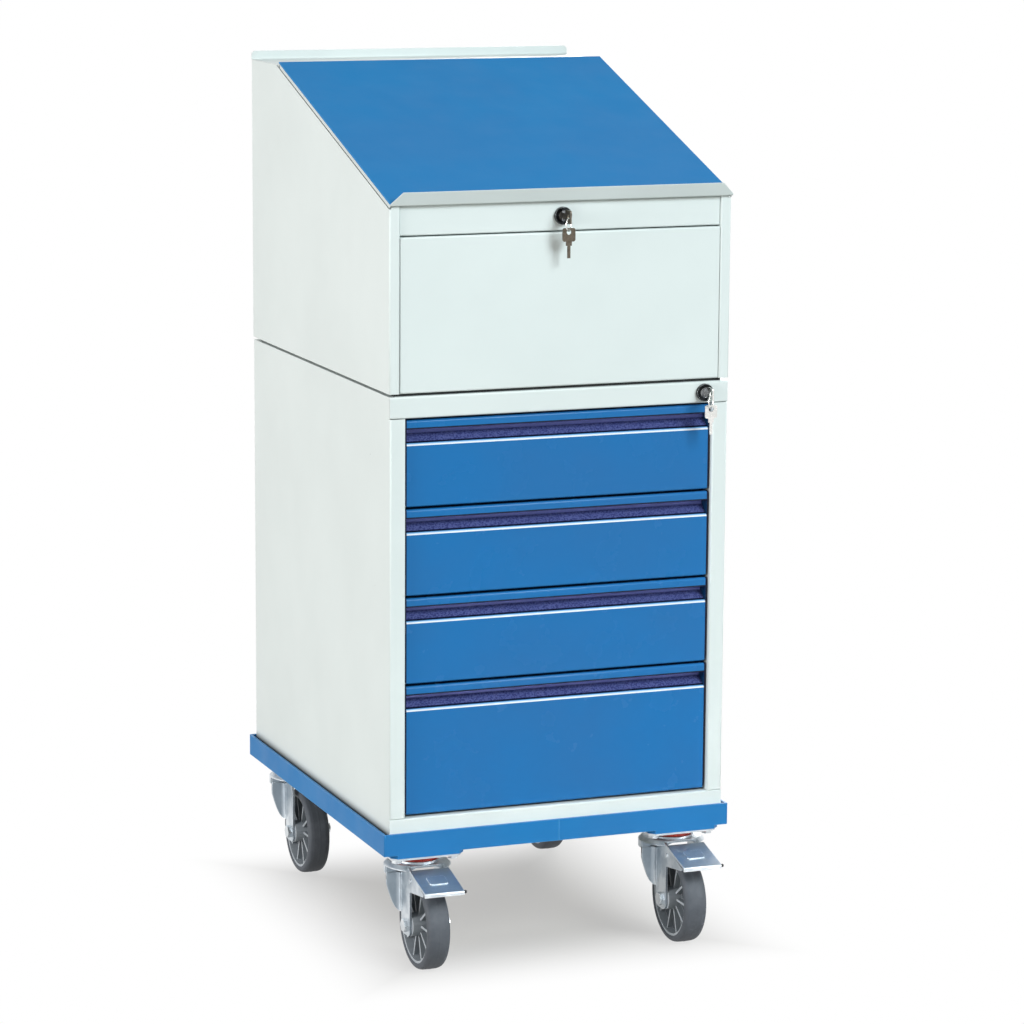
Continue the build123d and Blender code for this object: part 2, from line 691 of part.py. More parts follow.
def drawer_front(low_z, top_z):
    """Folded drawer front: flat panel, sloped finger recess, and a strip that hangs over the recess."""
    lip_z = top_z - GRIP_H
    half_w = OPEN_HALF_W - FRONT_SIDE_GAP
    profile = [
        (DRAWER_FACE_Y + GRIP_D, low_z),
        (DRAWER_FACE_Y, low_z),
        (DRAWER_FACE_Y, lip_z),
        (DRAWER_FACE_Y + GRIP_D, lip_z + GRIP_RISE),
        (DRAWER_FACE_Y + GRIP_D, top_z - SHEET),
        (DRAWER_FACE_Y + SHEET, top_z - SHEET),
        (DRAWER_FACE_Y + SHEET, top_z - STRIP_H),
    ]
    with BuildPart() as piece:
        extrude(folded(Plane.YZ, profile, Side.RIGHT), amount=half_w, both=True)
        for sign in (-1, 1):
            ends = (sign * half_w, sign * (half_w - SHEET))
            slab((min(ends), DRAWER_FACE_Y, low_z), (max(ends), DRAWER_BACK_Y, top_z))
        with BuildSketch(Plane.XZ.offset(-DRAWER_BACK_Y)) as view:
            with Locations((0, (low_z + top_z) / 2)):
                Rectangle(2 * half_w, top_z - low_z)
            fillet(view.vertices().group_by(Axis.Y)[0], FRONT_CORNER_R)
        extrude(amount=DRAWER_BACK_Y - DRAWER_FACE_Y, mode=Mode.INTERSECT)
    return piece


def drawer_box(low_z, top_z):
    """Folded drawer tray whose side walls turn outward at the top to ride on the runners."""
    box_top = top_z - BOX_ABOVE_GAP
    box_low = low_z + BOX_BELOW
    flange = OPEN_HALF_W - FRONT_SIDE_GAP
    section = [
        (-flange, box_top),
        (-BOX_HALF_W, box_top),
        (-BOX_HALF_W, box_low),
        (BOX_HALF_W, box_low),
        (BOX_HALF_W, box_top),
        (flange, box_top),
    ]
    with BuildPart() as piece:
        tray = folded(Plane.XZ.offset(-(DRAWER_BACK_Y + BOX_D)), section, Side.LEFT)
        extrude(tray, amount=BOX_D)
        for wall_y in (DRAWER_BACK_Y, DRAWER_BACK_Y + BOX_D - SHEET):
            wall_low = (-BOX_HALF_W + SHEET / 2, wall_y, box_low + SHEET / 2)
            slab(wall_low, (BOX_HALF_W - SHEET / 2, wall_y + SHEET, box_top))
    return piece


for number, (front_low, front_top) in enumerate(drawer_levels(), start=1):
    write(drawer_front(front_low, front_top), f"drawer_{number}_front")
    write(drawer_box(front_low, front_top), f"drawer_{number}_box")

# Desk: a black spacer, two sides cut to the slope, floor, back, front panel, lock rail and shelf
with BuildPart() as desk_spacer:
    with BuildSketch(Plane.XY.offset(CABINET_TOP_Z)):
        spacer_w = CABINET_W - 2 * SPACER_INSET
        spacer_d = CABINET_D - 2 * SPACER_INSET
        with Locations((0, (FRONT_Y + BACK_Y) / 2)):
            Rectangle(spacer_w, spacer_d)
            Rectangle(spacer_w - 2 * SPACER_BAND, spacer_d - 2 * SPACER_BAND, mode=Mode.SUBTRACT)
    extrude(amount=SPACER_T)
write(desk_spacer, "desk_spacer")

SIDE_TOP_Z = SHELF_Z - SHEET
DESK_INSIDE = DESK_W / 2 - BEND - SIDE_FIT
for side_name, sign in (("left", -1), ("right", 1)):
    with BuildPart() as desk_side:
        carcass_side(DESK_W / 2, DESK_STILE, DESK_RETURN, DESK_Z, SIDE_TOP_Z, sign)
        ahead_y = FRONT_Y - LID_OVERHANG
        for start_x, below in ((0, TRAY_LOW + LID_GAP), (DESK_INSIDE, LID_EDGE + LID_GAP)):
            ahead_z = lid_height(ahead_y, below)
            level_y = ahead_y + (SIDE_TOP_Z - ahead_z) / tan(radians(LID_SLOPE))
            with BuildSketch(Plane.YZ.offset(sign * start_x)):
                with BuildLine():
                    Polyline((ahead_y, ahead_z), (level_y, SIDE_TOP_Z), (ahead_y, SIDE_TOP_Z), close=True)
                make_face()
            extrude(amount=sign * DESK_W, mode=Mode.SUBTRACT)
    write(desk_side, f"desk_{side_name}_side")

with BuildPart() as desk_floor:
    floor_low = (-DESK_INSIDE, FRONT_Y + DESK_RETURN + SEAM, DESK_Z)
    slab(floor_low, (DESK_INSIDE, BACK_Y - SHEET, DESK_Z + SHEET))
write(desk_floor, "desk_floor")

with BuildPart() as desk_back:
    desk_back_low = (-DESK_INSIDE, BACK_Y - 2 * SHEET, DESK_Z + SHEET)
    slab(desk_back_low, (DESK_INSIDE, BACK_Y - SHEET, SHELF_Z - SHEET))
write(desk_back, "desk_back")

PANEL_HALF_W = DESK_W / 2 - DESK_STILE - PANEL_SIDE_GAP
with BuildPart() as desk_front_panel:
    panel_y = FRONT_Y + PANEL_INSET
    panel_fold = [
        (FRONT_Y + DESK_RETURN, DESK_Z),
        (panel_y, DESK_Z),
        (panel_y, PANEL_TOP_Z),
        (FRONT_Y + DESK_RETURN, PANEL_TOP_Z),
    ]
    extrude(folded(Plane.YZ, panel_fold, Side.RIGHT), amount=PANEL_HALF_W, both=True)
write(desk_front_panel, "desk_front_panel")

with BuildPart() as desk_lock_rail:
    lock_x, rail_y, lock_z = LOCKS["desk"]
    rail_fold = [
        (rail_y + LOCK_RAIL_D, LOCK_RAIL_Z),
        (rail_y, LOCK_RAIL_Z),
        (rail_y, LOCK_RAIL_TOP),
        (rail_y + LOCK_RAIL_D, LOCK_RAIL_TOP),
    ]
    extrude(folded(Plane.YZ, rail_fold, Side.RIGHT), amount=PANEL_HALF_W, both=True)
    with BuildSketch(Plane.XZ.offset(-rail_y)):
        with Locations((lock_x, lock_z)):
            Circle(BARREL_R)
    extrude(amount=-BEND, mode=Mode.SUBTRACT)
write(desk_lock_rail, "desk_lock_rail")

with BuildPart() as desk_top_shelf:
    shelf_fold = [
        (SHELF_FRONT_Y, SHELF_Z - SHELF_FLANGE),
        (SHELF_FRONT_Y, SHELF_Z),
        (BACK_Y - SHEET, SHELF_Z),
        (BACK_Y - SHEET, SHELF_Z + REAR_RAIL_H),
    ]
    extrude(folded(Plane.YZ, shelf_fold, Side.RIGHT), amount=DESK_W / 2, both=True)
    trim_ends(DESK_W / 2, SHELF_Z - SHELF_FLANGE - SHEET, SHELF_Z - SHEET)
    rail_corners = desk_top_shelf.edges().filter_by(Axis.Y).group_by(Axis.Z)[-1]
    fillet(rail_corners, REAR_RAIL_R)
write(desk_top_shelf, "desk_top_shelf")

# Lid: a folded tray with a mitred pencil lip, and the writing surface on it
with BuildPart() as lid_tray:
    tray_fold = [
        (-LID_LEN, LIP_H),
        (-LID_LEN, -TRAY_LOW),
        (-SHEET, -TRAY_LOW),
        (-SHEET, -TRAY_LOW - LID_FLANGE),
    ]
    extrude(folded(LID_SECTION, tray_fold, Side.LEFT), amount=DESK_W / 2, both=True)
    for sign in (-1, 1):
        with BuildSketch(LID_SECTION.offset(sign * DESK_W / 2)):
            edge_len = LID_LEN - HINGE_GAP
            with Locations((-LID_LEN + edge_len / 2 + BEND, -(LID_EDGE + TOP_SHEET_T) / 2)):
                Rectangle(edge_len - BEND, LID_EDGE - TOP_SHEET_T)
        extrude(amount=-sign * SHEET)
        with BuildSketch(LID_SECTION.offset(sign * DESK_W / 2)):
            with Locations((-BEND, -LID_EDGE - LID_FLANGE / 2)):
                Rectangle(3 * BEND, LID_FLANGE)
        extrude(amount=-sign * (BEND + SIDE_FIT), mode=Mode.SUBTRACT)
    lip_plane = Plane(
        origin=(0, LID_FRONT_Y, LID_FRONT_Z),
        x_dir=(1, 0, 0),
        z_dir=tuple(-v for v in SLOPE_DIR),
    )
    with BuildSketch(lip_plane):
        with BuildLine():
            Polyline((DESK_W / 2, 0), (DESK_W / 2, LIP_H), (DESK_W / 2 - LIP_H, LIP_H), close=True)
        make_face()
        mirror(about=Plane.YZ)
    extrude(amount=2 * SHEET, both=True, mode=Mode.SUBTRACT)
write(lid_tray, "lid_tray")

with BuildPart() as writing_surface:
    surface_len = LID_LEN - SHEET - SURFACE_FIT
    with BuildSketch(LID_SECTION):
        with Locations((-surface_len / 2, -TOP_SHEET_T / 2)):
            Rectangle(surface_len, TOP_SHEET_T)
    extrude(amount=DESK_W / 2, both=True)
write(writing_surface, "writing_surface")

# Lid hinge: two leaves with alternating knuckles, the pin fixed in the shelf's leaf
KNUCKLE_PITCH = (DESK_W - 2 * HINGE_END) / KNUCKLES
KNUCKLE_CENTRES = [(i - (KNUCKLES - 1) / 2) * KNUCKLE_PITCH for i in range(KNUCKLES)]
KNUCKLE_HALF = (KNUCKLE_PITCH - KNUCKLE_PLAY) / 2
LEAF_LOW_Z = SHELF_Z - SHELF_FLANGE


def round_bar(centre_x, half_length, radius, mode=Mode.ADD):
    """A round bar along the hinge axis: a knuckle, the pin, or the bore it runs in."""
    with BuildSketch(Plane.YZ.offset(centre_x)) as section:
        with Locations((HINGE_AXIS_Y, HINGE_AXIS_Z)):
            Circle(radius)
    extrude(section.sketch, amount=half_length, both=True, mode=mode)


with BuildPart() as lid_hinge_fixed:
    for centre_x in KNUCKLE_CENTRES[::2]:
        round_bar(centre_x, KNUCKLE_HALF, KNUCKLE_R)
        tab_low = (centre_x - KNUCKLE_HALF, SHELF_FRONT_Y - LEAF_T, LEAF_LOW_Z)
        slab(tab_low, (centre_x + KNUCKLE_HALF, SHELF_FRONT_Y, HINGE_AXIS_Z))
    hinge_end = KNUCKLE_CENTRES[-1] + KNUCKLE_HALF
    strip_top = HINGE_AXIS_Z - KNUCKLE_R - LEAF_T
    slab((-hinge_end, SHELF_FRONT_Y - LEAF_T, LEAF_LOW_Z), (hinge_end, SHELF_FRONT_Y, strip_top))
    round_bar(0, hinge_end, HINGE_PIN_R)
write(lid_hinge_fixed, "lid_hinge_fixed")

with BuildPart() as lid_hinge_moving:
    pivot_v = LID_SECTION.to_local_coords(Vector(0, HINGE_AXIS_Y, HINGE_AXIS_Z)).Y
    leaf_low_v = -TRAY_LOW - LID_FLANGE
    strip_high_v = pivot_v - KNUCKLE_R - LEAF_T / 2
    for centre_x in KNUCKLE_CENTRES[1::2]:
        round_bar(centre_x, KNUCKLE_HALF, KNUCKLE_R)
        with BuildSketch(LID_SECTION.offset(centre_x)):
            with Locations((LEAF_T / 2, (leaf_low_v + pivot_v) / 2)):
                Rectangle(LEAF_T, pivot_v - leaf_low_v)
        extrude(amount=KNUCKLE_HALF, both=True)
    with BuildSketch(LID_SECTION):
        with Locations((LEAF_T / 2, (leaf_low_v + strip_high_v) / 2)):
            Rectangle(LEAF_T, strip_high_v - leaf_low_v)
    extrude(amount=hinge_end, both=True)
    round_bar(0, hinge_end, HINGE_PIN_R + RUNNING, Mode.SUBTRACT)
write(lid_hinge_moving, "lid_hinge_moving")

# Locks: both collars with their barrels share a node, the plugs turn in them with a cam behind
with BuildPart() as lock_housings:
    for lock_x, face_y, lock_z in LOCKS.values():
        with BuildSketch(Plane.XZ.offset(-face_y)):
            with Locations((lock_x, lock_z)):
                Circle(COLLAR_R)
        extrude(amount=COLLAR_T, taper=COLLAR_EDGE)
        with BuildSketch(Plane.XZ.offset(-face_y)):
            with Locations((lock_x, lock_z)):
                Circle(BARREL_R)
        extrude(amount=-BARREL_L)
        with BuildSketch(Plane.XZ.offset(-face_y + COLLAR_T)):
            with Locations((lock_x, lock_z)):
                Circle(PLUG_R + RUNNING)
        extrude(amount=-COLLAR_T - BARREL_L, mode=Mode.SUBTRACT)
write(lock_housings, "lock_housings")


def lock_plug(lock):
    """Turning plug with its keyway, and the cam tongue behind the barrel."""
    x, face_y, z = lock
    front_y = face_y - COLLAR_T + PLUG_SUNK
    cam_y = face_y + BARREL_L + CAM_GAP
    with BuildPart() as piece:
        with BuildSketch(Plane.XZ.offset(-front_y)):
            with Locations((x, z)):
                Circle(PLUG_R)
        extrude(amount=-(cam_y + CAM_T - front_y))
        with BuildSketch(Plane.XZ.offset(-cam_y)):
            with Locations((x, z)):
                Circle(COLLAR_R - COLLAR_EDGE)
            with Locations((x + CAM_L / 2, z)):
                SlotOverall(CAM_L + CAM_W, CAM_W)
        extrude(amount=-CAM_T)
        with BuildSketch(Plane.XZ.offset(-front_y)):
            with Locations((x, z)):
                Rectangle(KEY_T + 2 * KEY_FIT, BLADE_W + 2 * KEY_FIT)
        extrude(amount=-(BLADE_L + KEY_FIT), mode=Mode.SUBTRACT)
    return piece


def inserted_key(lock):
    """Key in the lock: blade in the keyway, neck, and a square bow standing upright with its hole."""
    x, face_y, z = lock
    front_y = face_y - COLLAR_T + PLUG_SUNK
    bow_y = front_y - NECK_L - BOW_L / 2
    with BuildPart() as piece:
        with BuildSketch(Plane.YZ.offset(x)):
            with Locations((front_y + BLADE_L / 2, z)):
                Rectangle(BLADE_L, BLADE_W)
            with Locations((front_y - NECK_L / 2, z)):
                Rectangle(NECK_L, NECK_W)
            with Locations((bow_y, z)):
                RectangleRounded(BOW_L, BOW_W, BOW_R)
            with Locations((front_y - NECK_L - BOW_L + INSERTED_HOLE, z)):
                Circle(KEY_HOLE_R, mode=Mode.SUBTRACT)
        extrude(amount=KEY_T / 2, both=True)
    return piece


def ring_top(lock):
    """Centre of the ring's wire where it passes through the inserted key's bow."""
    x, face_y, z = lock
    front_y = face_y - COLLAR_T + PLUG_SUNK
    return x, front_y - NECK_L - BOW_L + INSERTED_HOLE, z - RING_SLACK


def key_ring(lock):
    """Wire ring that hangs in the inserted key's bow, turned to let the spare key hang flat."""
    x, y, z = ring_top(lock)
    along = (cos(radians(RING_TURN)), sin(radians(RING_TURN)), 0)
    across = (-sin(radians(RING_TURN)), cos(radians(RING_TURN)), 0)
    with BuildPart() as piece:
        with BuildSketch(Plane(origin=(x, y, z), x_dir=across, z_dir=along)):
            Rectangle(RING_WIRE, RING_WIRE)
        revolve(axis=Axis((x, y, z - RING_R), across))
    return piece


def spare_key(lock):
    """Second key, hanging flat from the bottom of the ring."""
    x, y, z = ring_top(lock)
    hole_z = z - 2 * RING_R - RING_SLACK
    bow_top = hole_z + SPARE_HOLE
    bow_low = bow_top - BOW_L
    blade_top = bow_low - SPARE_NECK_L
    with BuildPart() as piece:
        with BuildSketch(Plane.XZ.offset(-y)):
            with Locations((x, (bow_top + bow_low) / 2)):
                RectangleRounded(BOW_W, BOW_L, BOW_R)
            with Locations((x, (bow_low + blade_top) / 2)):
                Rectangle(NECK_W, SPARE_NECK_L + BOW_R)
            with Locations((x, blade_top - SPARE_BLADE_L / 2)):
                Rectangle(SPARE_BLADE_W, SPARE_BLADE_L)
            with Locations((x, hole_z)):
                Circle(KEY_HOLE_R, mode=Mode.SUBTRACT)
        extrude(amount=KEY_T / 2, both=True)
    return piece


for lock_name, lock in LOCKS.items():
    write(lock_plug(lock), f"{lock_name}_lock_plug")
    write(inserted_key(lock), f"{lock_name}_key")
    write(key_ring(lock), f"{lock_name}_key_ring")
    write(spare_key(lock), f"{lock_name}_spare_key")
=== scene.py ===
import logging
import math
from dataclasses import dataclass
from enum import Enum
from typing import Any, Iterator

import bpy
import numpy as np
from mathutils import Matrix, Vector


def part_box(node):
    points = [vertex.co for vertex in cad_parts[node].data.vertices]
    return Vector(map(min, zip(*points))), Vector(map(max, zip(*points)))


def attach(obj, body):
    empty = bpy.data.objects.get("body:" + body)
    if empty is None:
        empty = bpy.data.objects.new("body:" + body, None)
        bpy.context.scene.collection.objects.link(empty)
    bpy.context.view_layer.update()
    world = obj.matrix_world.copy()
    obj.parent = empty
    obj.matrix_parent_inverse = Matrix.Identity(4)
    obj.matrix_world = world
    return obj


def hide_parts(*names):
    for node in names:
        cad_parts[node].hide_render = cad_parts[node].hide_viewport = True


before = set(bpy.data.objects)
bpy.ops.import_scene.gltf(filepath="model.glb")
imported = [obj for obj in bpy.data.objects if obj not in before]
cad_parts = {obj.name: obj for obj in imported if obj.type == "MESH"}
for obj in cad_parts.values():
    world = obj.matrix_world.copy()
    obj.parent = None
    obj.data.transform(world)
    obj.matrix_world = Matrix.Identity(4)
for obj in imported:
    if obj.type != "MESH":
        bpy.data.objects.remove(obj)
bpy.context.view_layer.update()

Tree = bpy.types.NodeTree
Socket = bpy.types.NodeSocket

LOG = logging.getLogger("trolley")
NODES: dict[str, bpy.types.Object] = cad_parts
MM = 0.001
WHITE = (1.0, 1.0, 1.0, 1.0)
# Width of a painted band's soft ends, in millimetres
SOFT_MM = 0.4
# Refractive index of paint, rubber and plastic
FILM_IOR = 1.5

# Input numbers of Blender's Map Range node, and of its Mix node where that mixes colours
VALUE, FROM, TO, LOW, HIGH = range(5)
SHARE, UNDER, OVER = 0, 6, 7


def linear(hex_colour: str) -> tuple[float, float, float, float]:
    """Turns an sRGB hex colour into a linear one.

    Args:
        hex_colour: Six hex digits after a hash sign.

    Returns:
        Linear red, green, blue and an alpha of 1.
    """
    srgb = np.array([int(hex_colour[i : i + 2], 16) for i in (1, 3, 5)]) / 255.0
    values = np.where(srgb <= 0.04045, srgb / 12.92, ((srgb + 0.055) / 1.055) ** 2.4)
    return (*(float(v) for v in values), 1.0)


class Kind(Enum):
    """The shader nodes in use: Blender's type name, the output that is mostly read, and fixed settings."""

    COORDS = ("ShaderNodeTexCoord", "Object", {})
    GEOMETRY = ("ShaderNodeNewGeometry", "Normal", {})
    ROUNDED = ("ShaderNodeBevel", "Normal", {"samples": 4})
    AXES = ("ShaderNodeSeparateXYZ", "Z", {})
    CHANNELS = ("ShaderNodeSeparateColor", 0, {})
    MAPPING = ("ShaderNodeMapping", 0, {})
    NOISE = ("ShaderNodeTexNoise", "Fac", {})
    CELLS = ("ShaderNodeTexVoronoi", "Distance", {})
    RANGE = ("ShaderNodeMapRange", 0, {})
    MIX = ("ShaderNodeMix", 2, {"data_type": "RGBA"})
    MATH = ("ShaderNodeMath", 0, {})
    ALIKE = ("ShaderNodeVectorMath", "Value", {"operation": "DOT_PRODUCT"})
    BUMP = ("ShaderNodeBump", 0, {})
    PRINCIPLED = ("ShaderNodeBsdfPrincipled", 0, {})
    MATT = ("ShaderNodeBsdfDiffuse", 0, {})
    GLOW = ("ShaderNodeEmission", 0, {})
    SKY = ("ShaderNodeBackground", 0, {})
    RAY = ("ShaderNodeLightPath", "Is Camera Ray", {})
    BLEND = ("ShaderNodeMixShader", 0, {})
    OUTPUT = ("ShaderNodeOutputMaterial", None, {})
    WORLD = ("ShaderNodeOutputWorld", None, {})


def add_node(
    tree: Tree, kind: Kind, inputs: dict | None = None, out: str | None = None, **settings: Any
) -> Socket | None:
    """Adds a shader node with its settings, input values and links.

    Args:
        tree: The node tree that gets the node.
        kind: Which node.
        inputs: Input name or number to a value, or to an output socket that is linked to it.
        out: Name of the output to read, where it isn't the kind's usual one.
        settings: Attributes of the node.

    Returns:
        The node's output, or None where it has none.
    """
    name, usual, fixed = kind.value
    node = tree.nodes.new(name)
    for key, value in {**fixed, **settings}.items():
        setattr(node, key, value)
    for key, value in (inputs or {}).items():
        if isinstance(value, Socket):
            tree.links.new(value, node.inputs[key])
        else:
            node.inputs[key].default_value = value
    wanted = usual if out is None else out
    return None if wanted is None else node.outputs[wanted]


class Axis(Enum):
    """The axes of the shared frame: X to the right, Y to the back, Z up."""

    X = "X"
    Y = "Y"
    Z = "Z"


class Scale(Enum):
    """Pattern sizes in millimetres that the finishes share."""

    CLOUD = 190.0
    SMUDGE = 45.0
    SPECK_CELL = 58.0
    PEEL = 4.0
    PASSIVE = 22.0
    RIPPLE = 9.0
    SPANGLE = 5.0
    HAZE = 6.0
    SCUFF = 16.0
    RUB = 7.0
    RUBBER = 2.0
    RECESS_SPECK = 2.4


class Span(Enum):
    """Parts of a pattern's or a slope's range that a finish stretches to full contrast."""

    CLOUD = (0.36, 0.64)
    PATCH = (0.38, 0.62)
    SMUDGE = (0.3, 0.7)
    RECESS_SPECK = (0.42, 0.6)
    HAZE = (0.4, 0.65)
    SCUFF = (0.45, 0.72)
    RUB = (0.36, 0.56)
    EDGE = (0.99, 0.78)
    TOPS = (0.5, 0.8)
    SIDES = (0.6, 0.85)
    ENDS = (0.9, 0.96)
    DULLED = (0.4, 0.75)

    def of(self, value: Socket, low: float = 0.0, high: float = 1.0) -> dict[int, Any]:
        """Inputs of a Map Range node that stretches this part of a value.

        Args:
            value: The socket to read.
            low: What the first end of the part becomes.
            high: What the second end becomes.

        Returns:
            The node's inputs.
        """
        return {VALUE: value, FROM: self.value[0], TO: self.value[1], LOW: low, HIGH: high}


def cells(place: Socket, size: Scale | float, detail: float | None = None) -> dict[str, Any]:
    """Inputs of a texture whose pattern has a real size.

    Args:
        place: Coordinates in metres.
        size: Size of the pattern in millimetres.
        detail: Number of finer layers, where the texture has them.

    Returns:
        The texture node's inputs.
    """
    size_mm = size.value if isinstance(size, Scale) else size
    found: dict[str, Any] = {"Vector": place, "Scale": 1.0 / (MM * size_mm)}
    if detail is not None:
        found["Detail"] = detail
    return found


def facing(tree: Tree, axis: Axis) -> Socket:
    """How squarely a surface faces along an axis, either way.

    Args:
        tree: The node tree.
        axis: The axis.

    Returns:
        1 where the surface lies across the axis and 0 where it runs along it.
    """
    normal = add_node(tree, Kind.COORDS, out="Normal")
    part = add_node(tree, Kind.AXES, {0: normal}, axis.value)
    return add_node(tree, Kind.MATH, {0: part}, operation="ABSOLUTE")


def band(tree: Tree, value: Socket, low_mm: float, high_mm: float) -> Socket:
    """A strip of values with soft ends.

    Args:
        tree: The node tree.
        value: The socket to read, in metres.
        low_mm: Where the strip is full at its lower end.
        high_mm: Where the strip is full at its upper end.

    Returns:
        1 in the strip and 0 outside it.
    """
    after = add_node(tree, Kind.RANGE, {VALUE: value, FROM: (low_mm - SOFT_MM) * MM, TO: low_mm * MM})
    before = add_node(tree, Kind.RANGE, {VALUE: value, FROM: (high_mm + SOFT_MM) * MM, TO: high_mm * MM})
    return add_node(tree, Kind.MATH, {0: after, 1: before}, operation="MULTIPLY")


def edge_rub_and_highlight(tree: Tree, place: Socket, reach_mm: float, amount: float) -> Socket:
    """Where edges are abraded, and where a painted highlight stands in for the light that edges catch: the
    places whose rounded-off normal leaves the true one, broken by noise.

    Args:
        tree: The node tree.
        place: Coordinates in metres.
        reach_mm: How far from an edge the abrasion and painted highlight reach.
        amount: The abrasion and painted highlight on the edge itself, 0 to 1.

    Returns:
        The abrasion and painted highlight, 0 to the amount.
    """
    soft = add_node(tree, Kind.ROUNDED, {"Radius": reach_mm * MM})
    alike = add_node(tree, Kind.ALIKE, {0: soft, 1: add_node(tree, Kind.GEOMETRY)})
    edge = add_node(tree, Kind.RANGE, Span.EDGE.of(alike, high=amount))
    rub = add_node(tree, Kind.NOISE, cells(place, Scale.RUB, 4.0))
    patchy = add_node(tree, Kind.RANGE, Span.RUB.of(rub, low=0.35))
    return add_node(tree, Kind.MATH, {0: edge, 1: patchy}, operation="MULTIPLY")


@dataclass(frozen=True)
class Finish:
    """A named surface finish; each kind of real surface is a class of its own."""

    name: str

    def material(self) -> bpy.types.Material:
        """The finish as a material, made once.

        Returns:
            The material of this name.
        """
        found = bpy.data.materials.get(self.name)
        if found is not None:
            return found
        made = bpy.data.materials.new(self.name)
        made.use_nodes = True
        made.node_tree.nodes.clear()
        place = add_node(made.node_tree, Kind.COORDS)
        add_node(made.node_tree, Kind.OUTPUT, {"Surface": self.shader(made.node_tree, place)})
        return made

    def shader(self, tree: Tree, place: Socket) -> Socket:
        """The finish's shader output, which each kind of finish makes its own way."""
        raise NotImplementedError


Dressing = dict[str, tuple[Finish, float]]


@dataclass(frozen=True)
class PowderCoat(Finish):
    """Polyester powder coat, sprayed as a powder without solvent and melted on: an even satin film with a
    faint orange peel.

    The eye sees slow clouds of film thickness, a few dust nibs, lighter edges that are partly abraded and
    partly a painted highlight, and a soft gloss.
    """

    colour: str = "#ffffff"
    thin: str = "#ffffff"
    nib: str = "#8d9490"
    edge: str = "#ffffff"
    roughness: float = 0.34
    nibs: float = 0.5
    specular: float = 0.5
    wear_and_highlight: float = 0.6
    nib_size: float = 0.024
    edge_reach_mm: float = 1.6
    peel_mm: float = 0.12
    relief: float = 0.35
    stray: tuple[float, float] = (-0.04, 0.06)

    def tone(self, tree: Tree, place: Socket) -> Socket:
        """The film's colour: thickness clouds, dust nibs, and lighter edges, partly abraded and partly a
        painted highlight.

        Args:
            tree: The node tree.
            place: Coordinates in metres.

        Returns:
            The colour's output.
        """
        cloud = add_node(tree, Kind.NOISE, cells(place, Scale.CLOUD, 3.0))
        thick = add_node(tree, Kind.RANGE, Span.CLOUD.of(cloud))
        film = add_node(tree, Kind.MIX, {SHARE: thick, UNDER: linear(self.colour), OVER: linear(self.thin)})
        near = add_node(tree, Kind.CELLS, cells(place, Scale.SPECK_CELL))
        picked = add_node(tree, Kind.CHANNELS, {0: near.node.outputs["Color"]})
        chosen = {VALUE: picked, FROM: 1.0 - self.nibs, TO: 1.0, HIGH: self.nib_size}
        size = add_node(tree, Kind.RANGE, chosen)
        dot = add_node(tree, Kind.MATH, {0: near, 1: size}, operation="LESS_THAN")
        film = add_node(tree, Kind.MIX, {SHARE: dot, UNDER: film, OVER: linear(self.nib)})
        # Lighter edges: partly abraded paint, partly a painted highlight where bends would catch the light
        rub_and_highlight = edge_rub_and_highlight(tree, place, self.edge_reach_mm, self.wear_and_highlight)
        return add_node(tree, Kind.MIX, {SHARE: rub_and_highlight, UNDER: film, OVER: linear(self.edge)})

    def shader(self, tree: Tree, place: Socket) -> Socket:
        """The film's colour, an uneven satin gloss from handling and the orange peel in the bump.

        Args:
            tree: The node tree.
            place: Coordinates in metres.

        Returns:
            The shader's output.
        """
        smudge = add_node(tree, Kind.NOISE, cells(place, Scale.SMUDGE, 4.0))
        low, high = (self.roughness + stray for stray in self.stray)
        # The real peel is about 2 mm across; it is drawn at twice that so that it shows at this size.
        peel = add_node(tree, Kind.NOISE, cells(place, Scale.PEEL, 1.0))
        skin = {"Height": peel, "Strength": self.relief, "Distance": self.peel_mm * MM}
        inputs = {
            "Base Color": self.tone(tree, place),
            "Roughness": add_node(tree, Kind.RANGE, Span.SMUDGE.of(smudge, low, high)),
            "Normal": add_node(tree, Kind.BUMP, skin),
            "IOR": FILM_IOR,
            "Specular IOR Level": self.specular,
        }
        return add_node(tree, Kind.PRINCIPLED, inputs)


@dataclass(frozen=True)
class FootedCoat(PowderCoat):
    """The same coat on the carcass, with painted shade low on its sides, just above the base."""

    rim_z: float = 0.0
    painted_shade_mm: float = 9.0
    painted_shade_share: float = 0.8
    painted_shade_fall: float = 1.6
    painted_shade: str = "#6d726e"

    def tone(self, tree: Tree, place: Socket) -> Socket:
        """The coat's colour with painted shade, strongest at the rim and only on the faces to left and right.

        Args:
            tree: The node tree.
            place: Coordinates in metres.

        Returns:
            The colour's output.
        """
        height = add_node(tree, Kind.AXES, {0: place})
        top_z = self.rim_z + self.painted_shade_mm * MM
        # Painted shade: darker towards the base's rim, on the side faces only
        low = add_node(tree, Kind.RANGE, {VALUE: height, FROM: top_z, TO: self.rim_z, HIGH: self.painted_shade_share})
        shade_falloff = add_node(tree, Kind.MATH, {0: low, 1: self.painted_shade_fall}, operation="POWER")
        share = add_node(tree, Kind.MATH, {0: shade_falloff, 1: facing(tree, Axis.X)}, operation="MULTIPLY")
        unshaded = super().tone(tree, place)
        return add_node(tree, Kind.MIX, {SHARE: share, UNDER: unshaded, OVER: linear(self.painted_shade)})


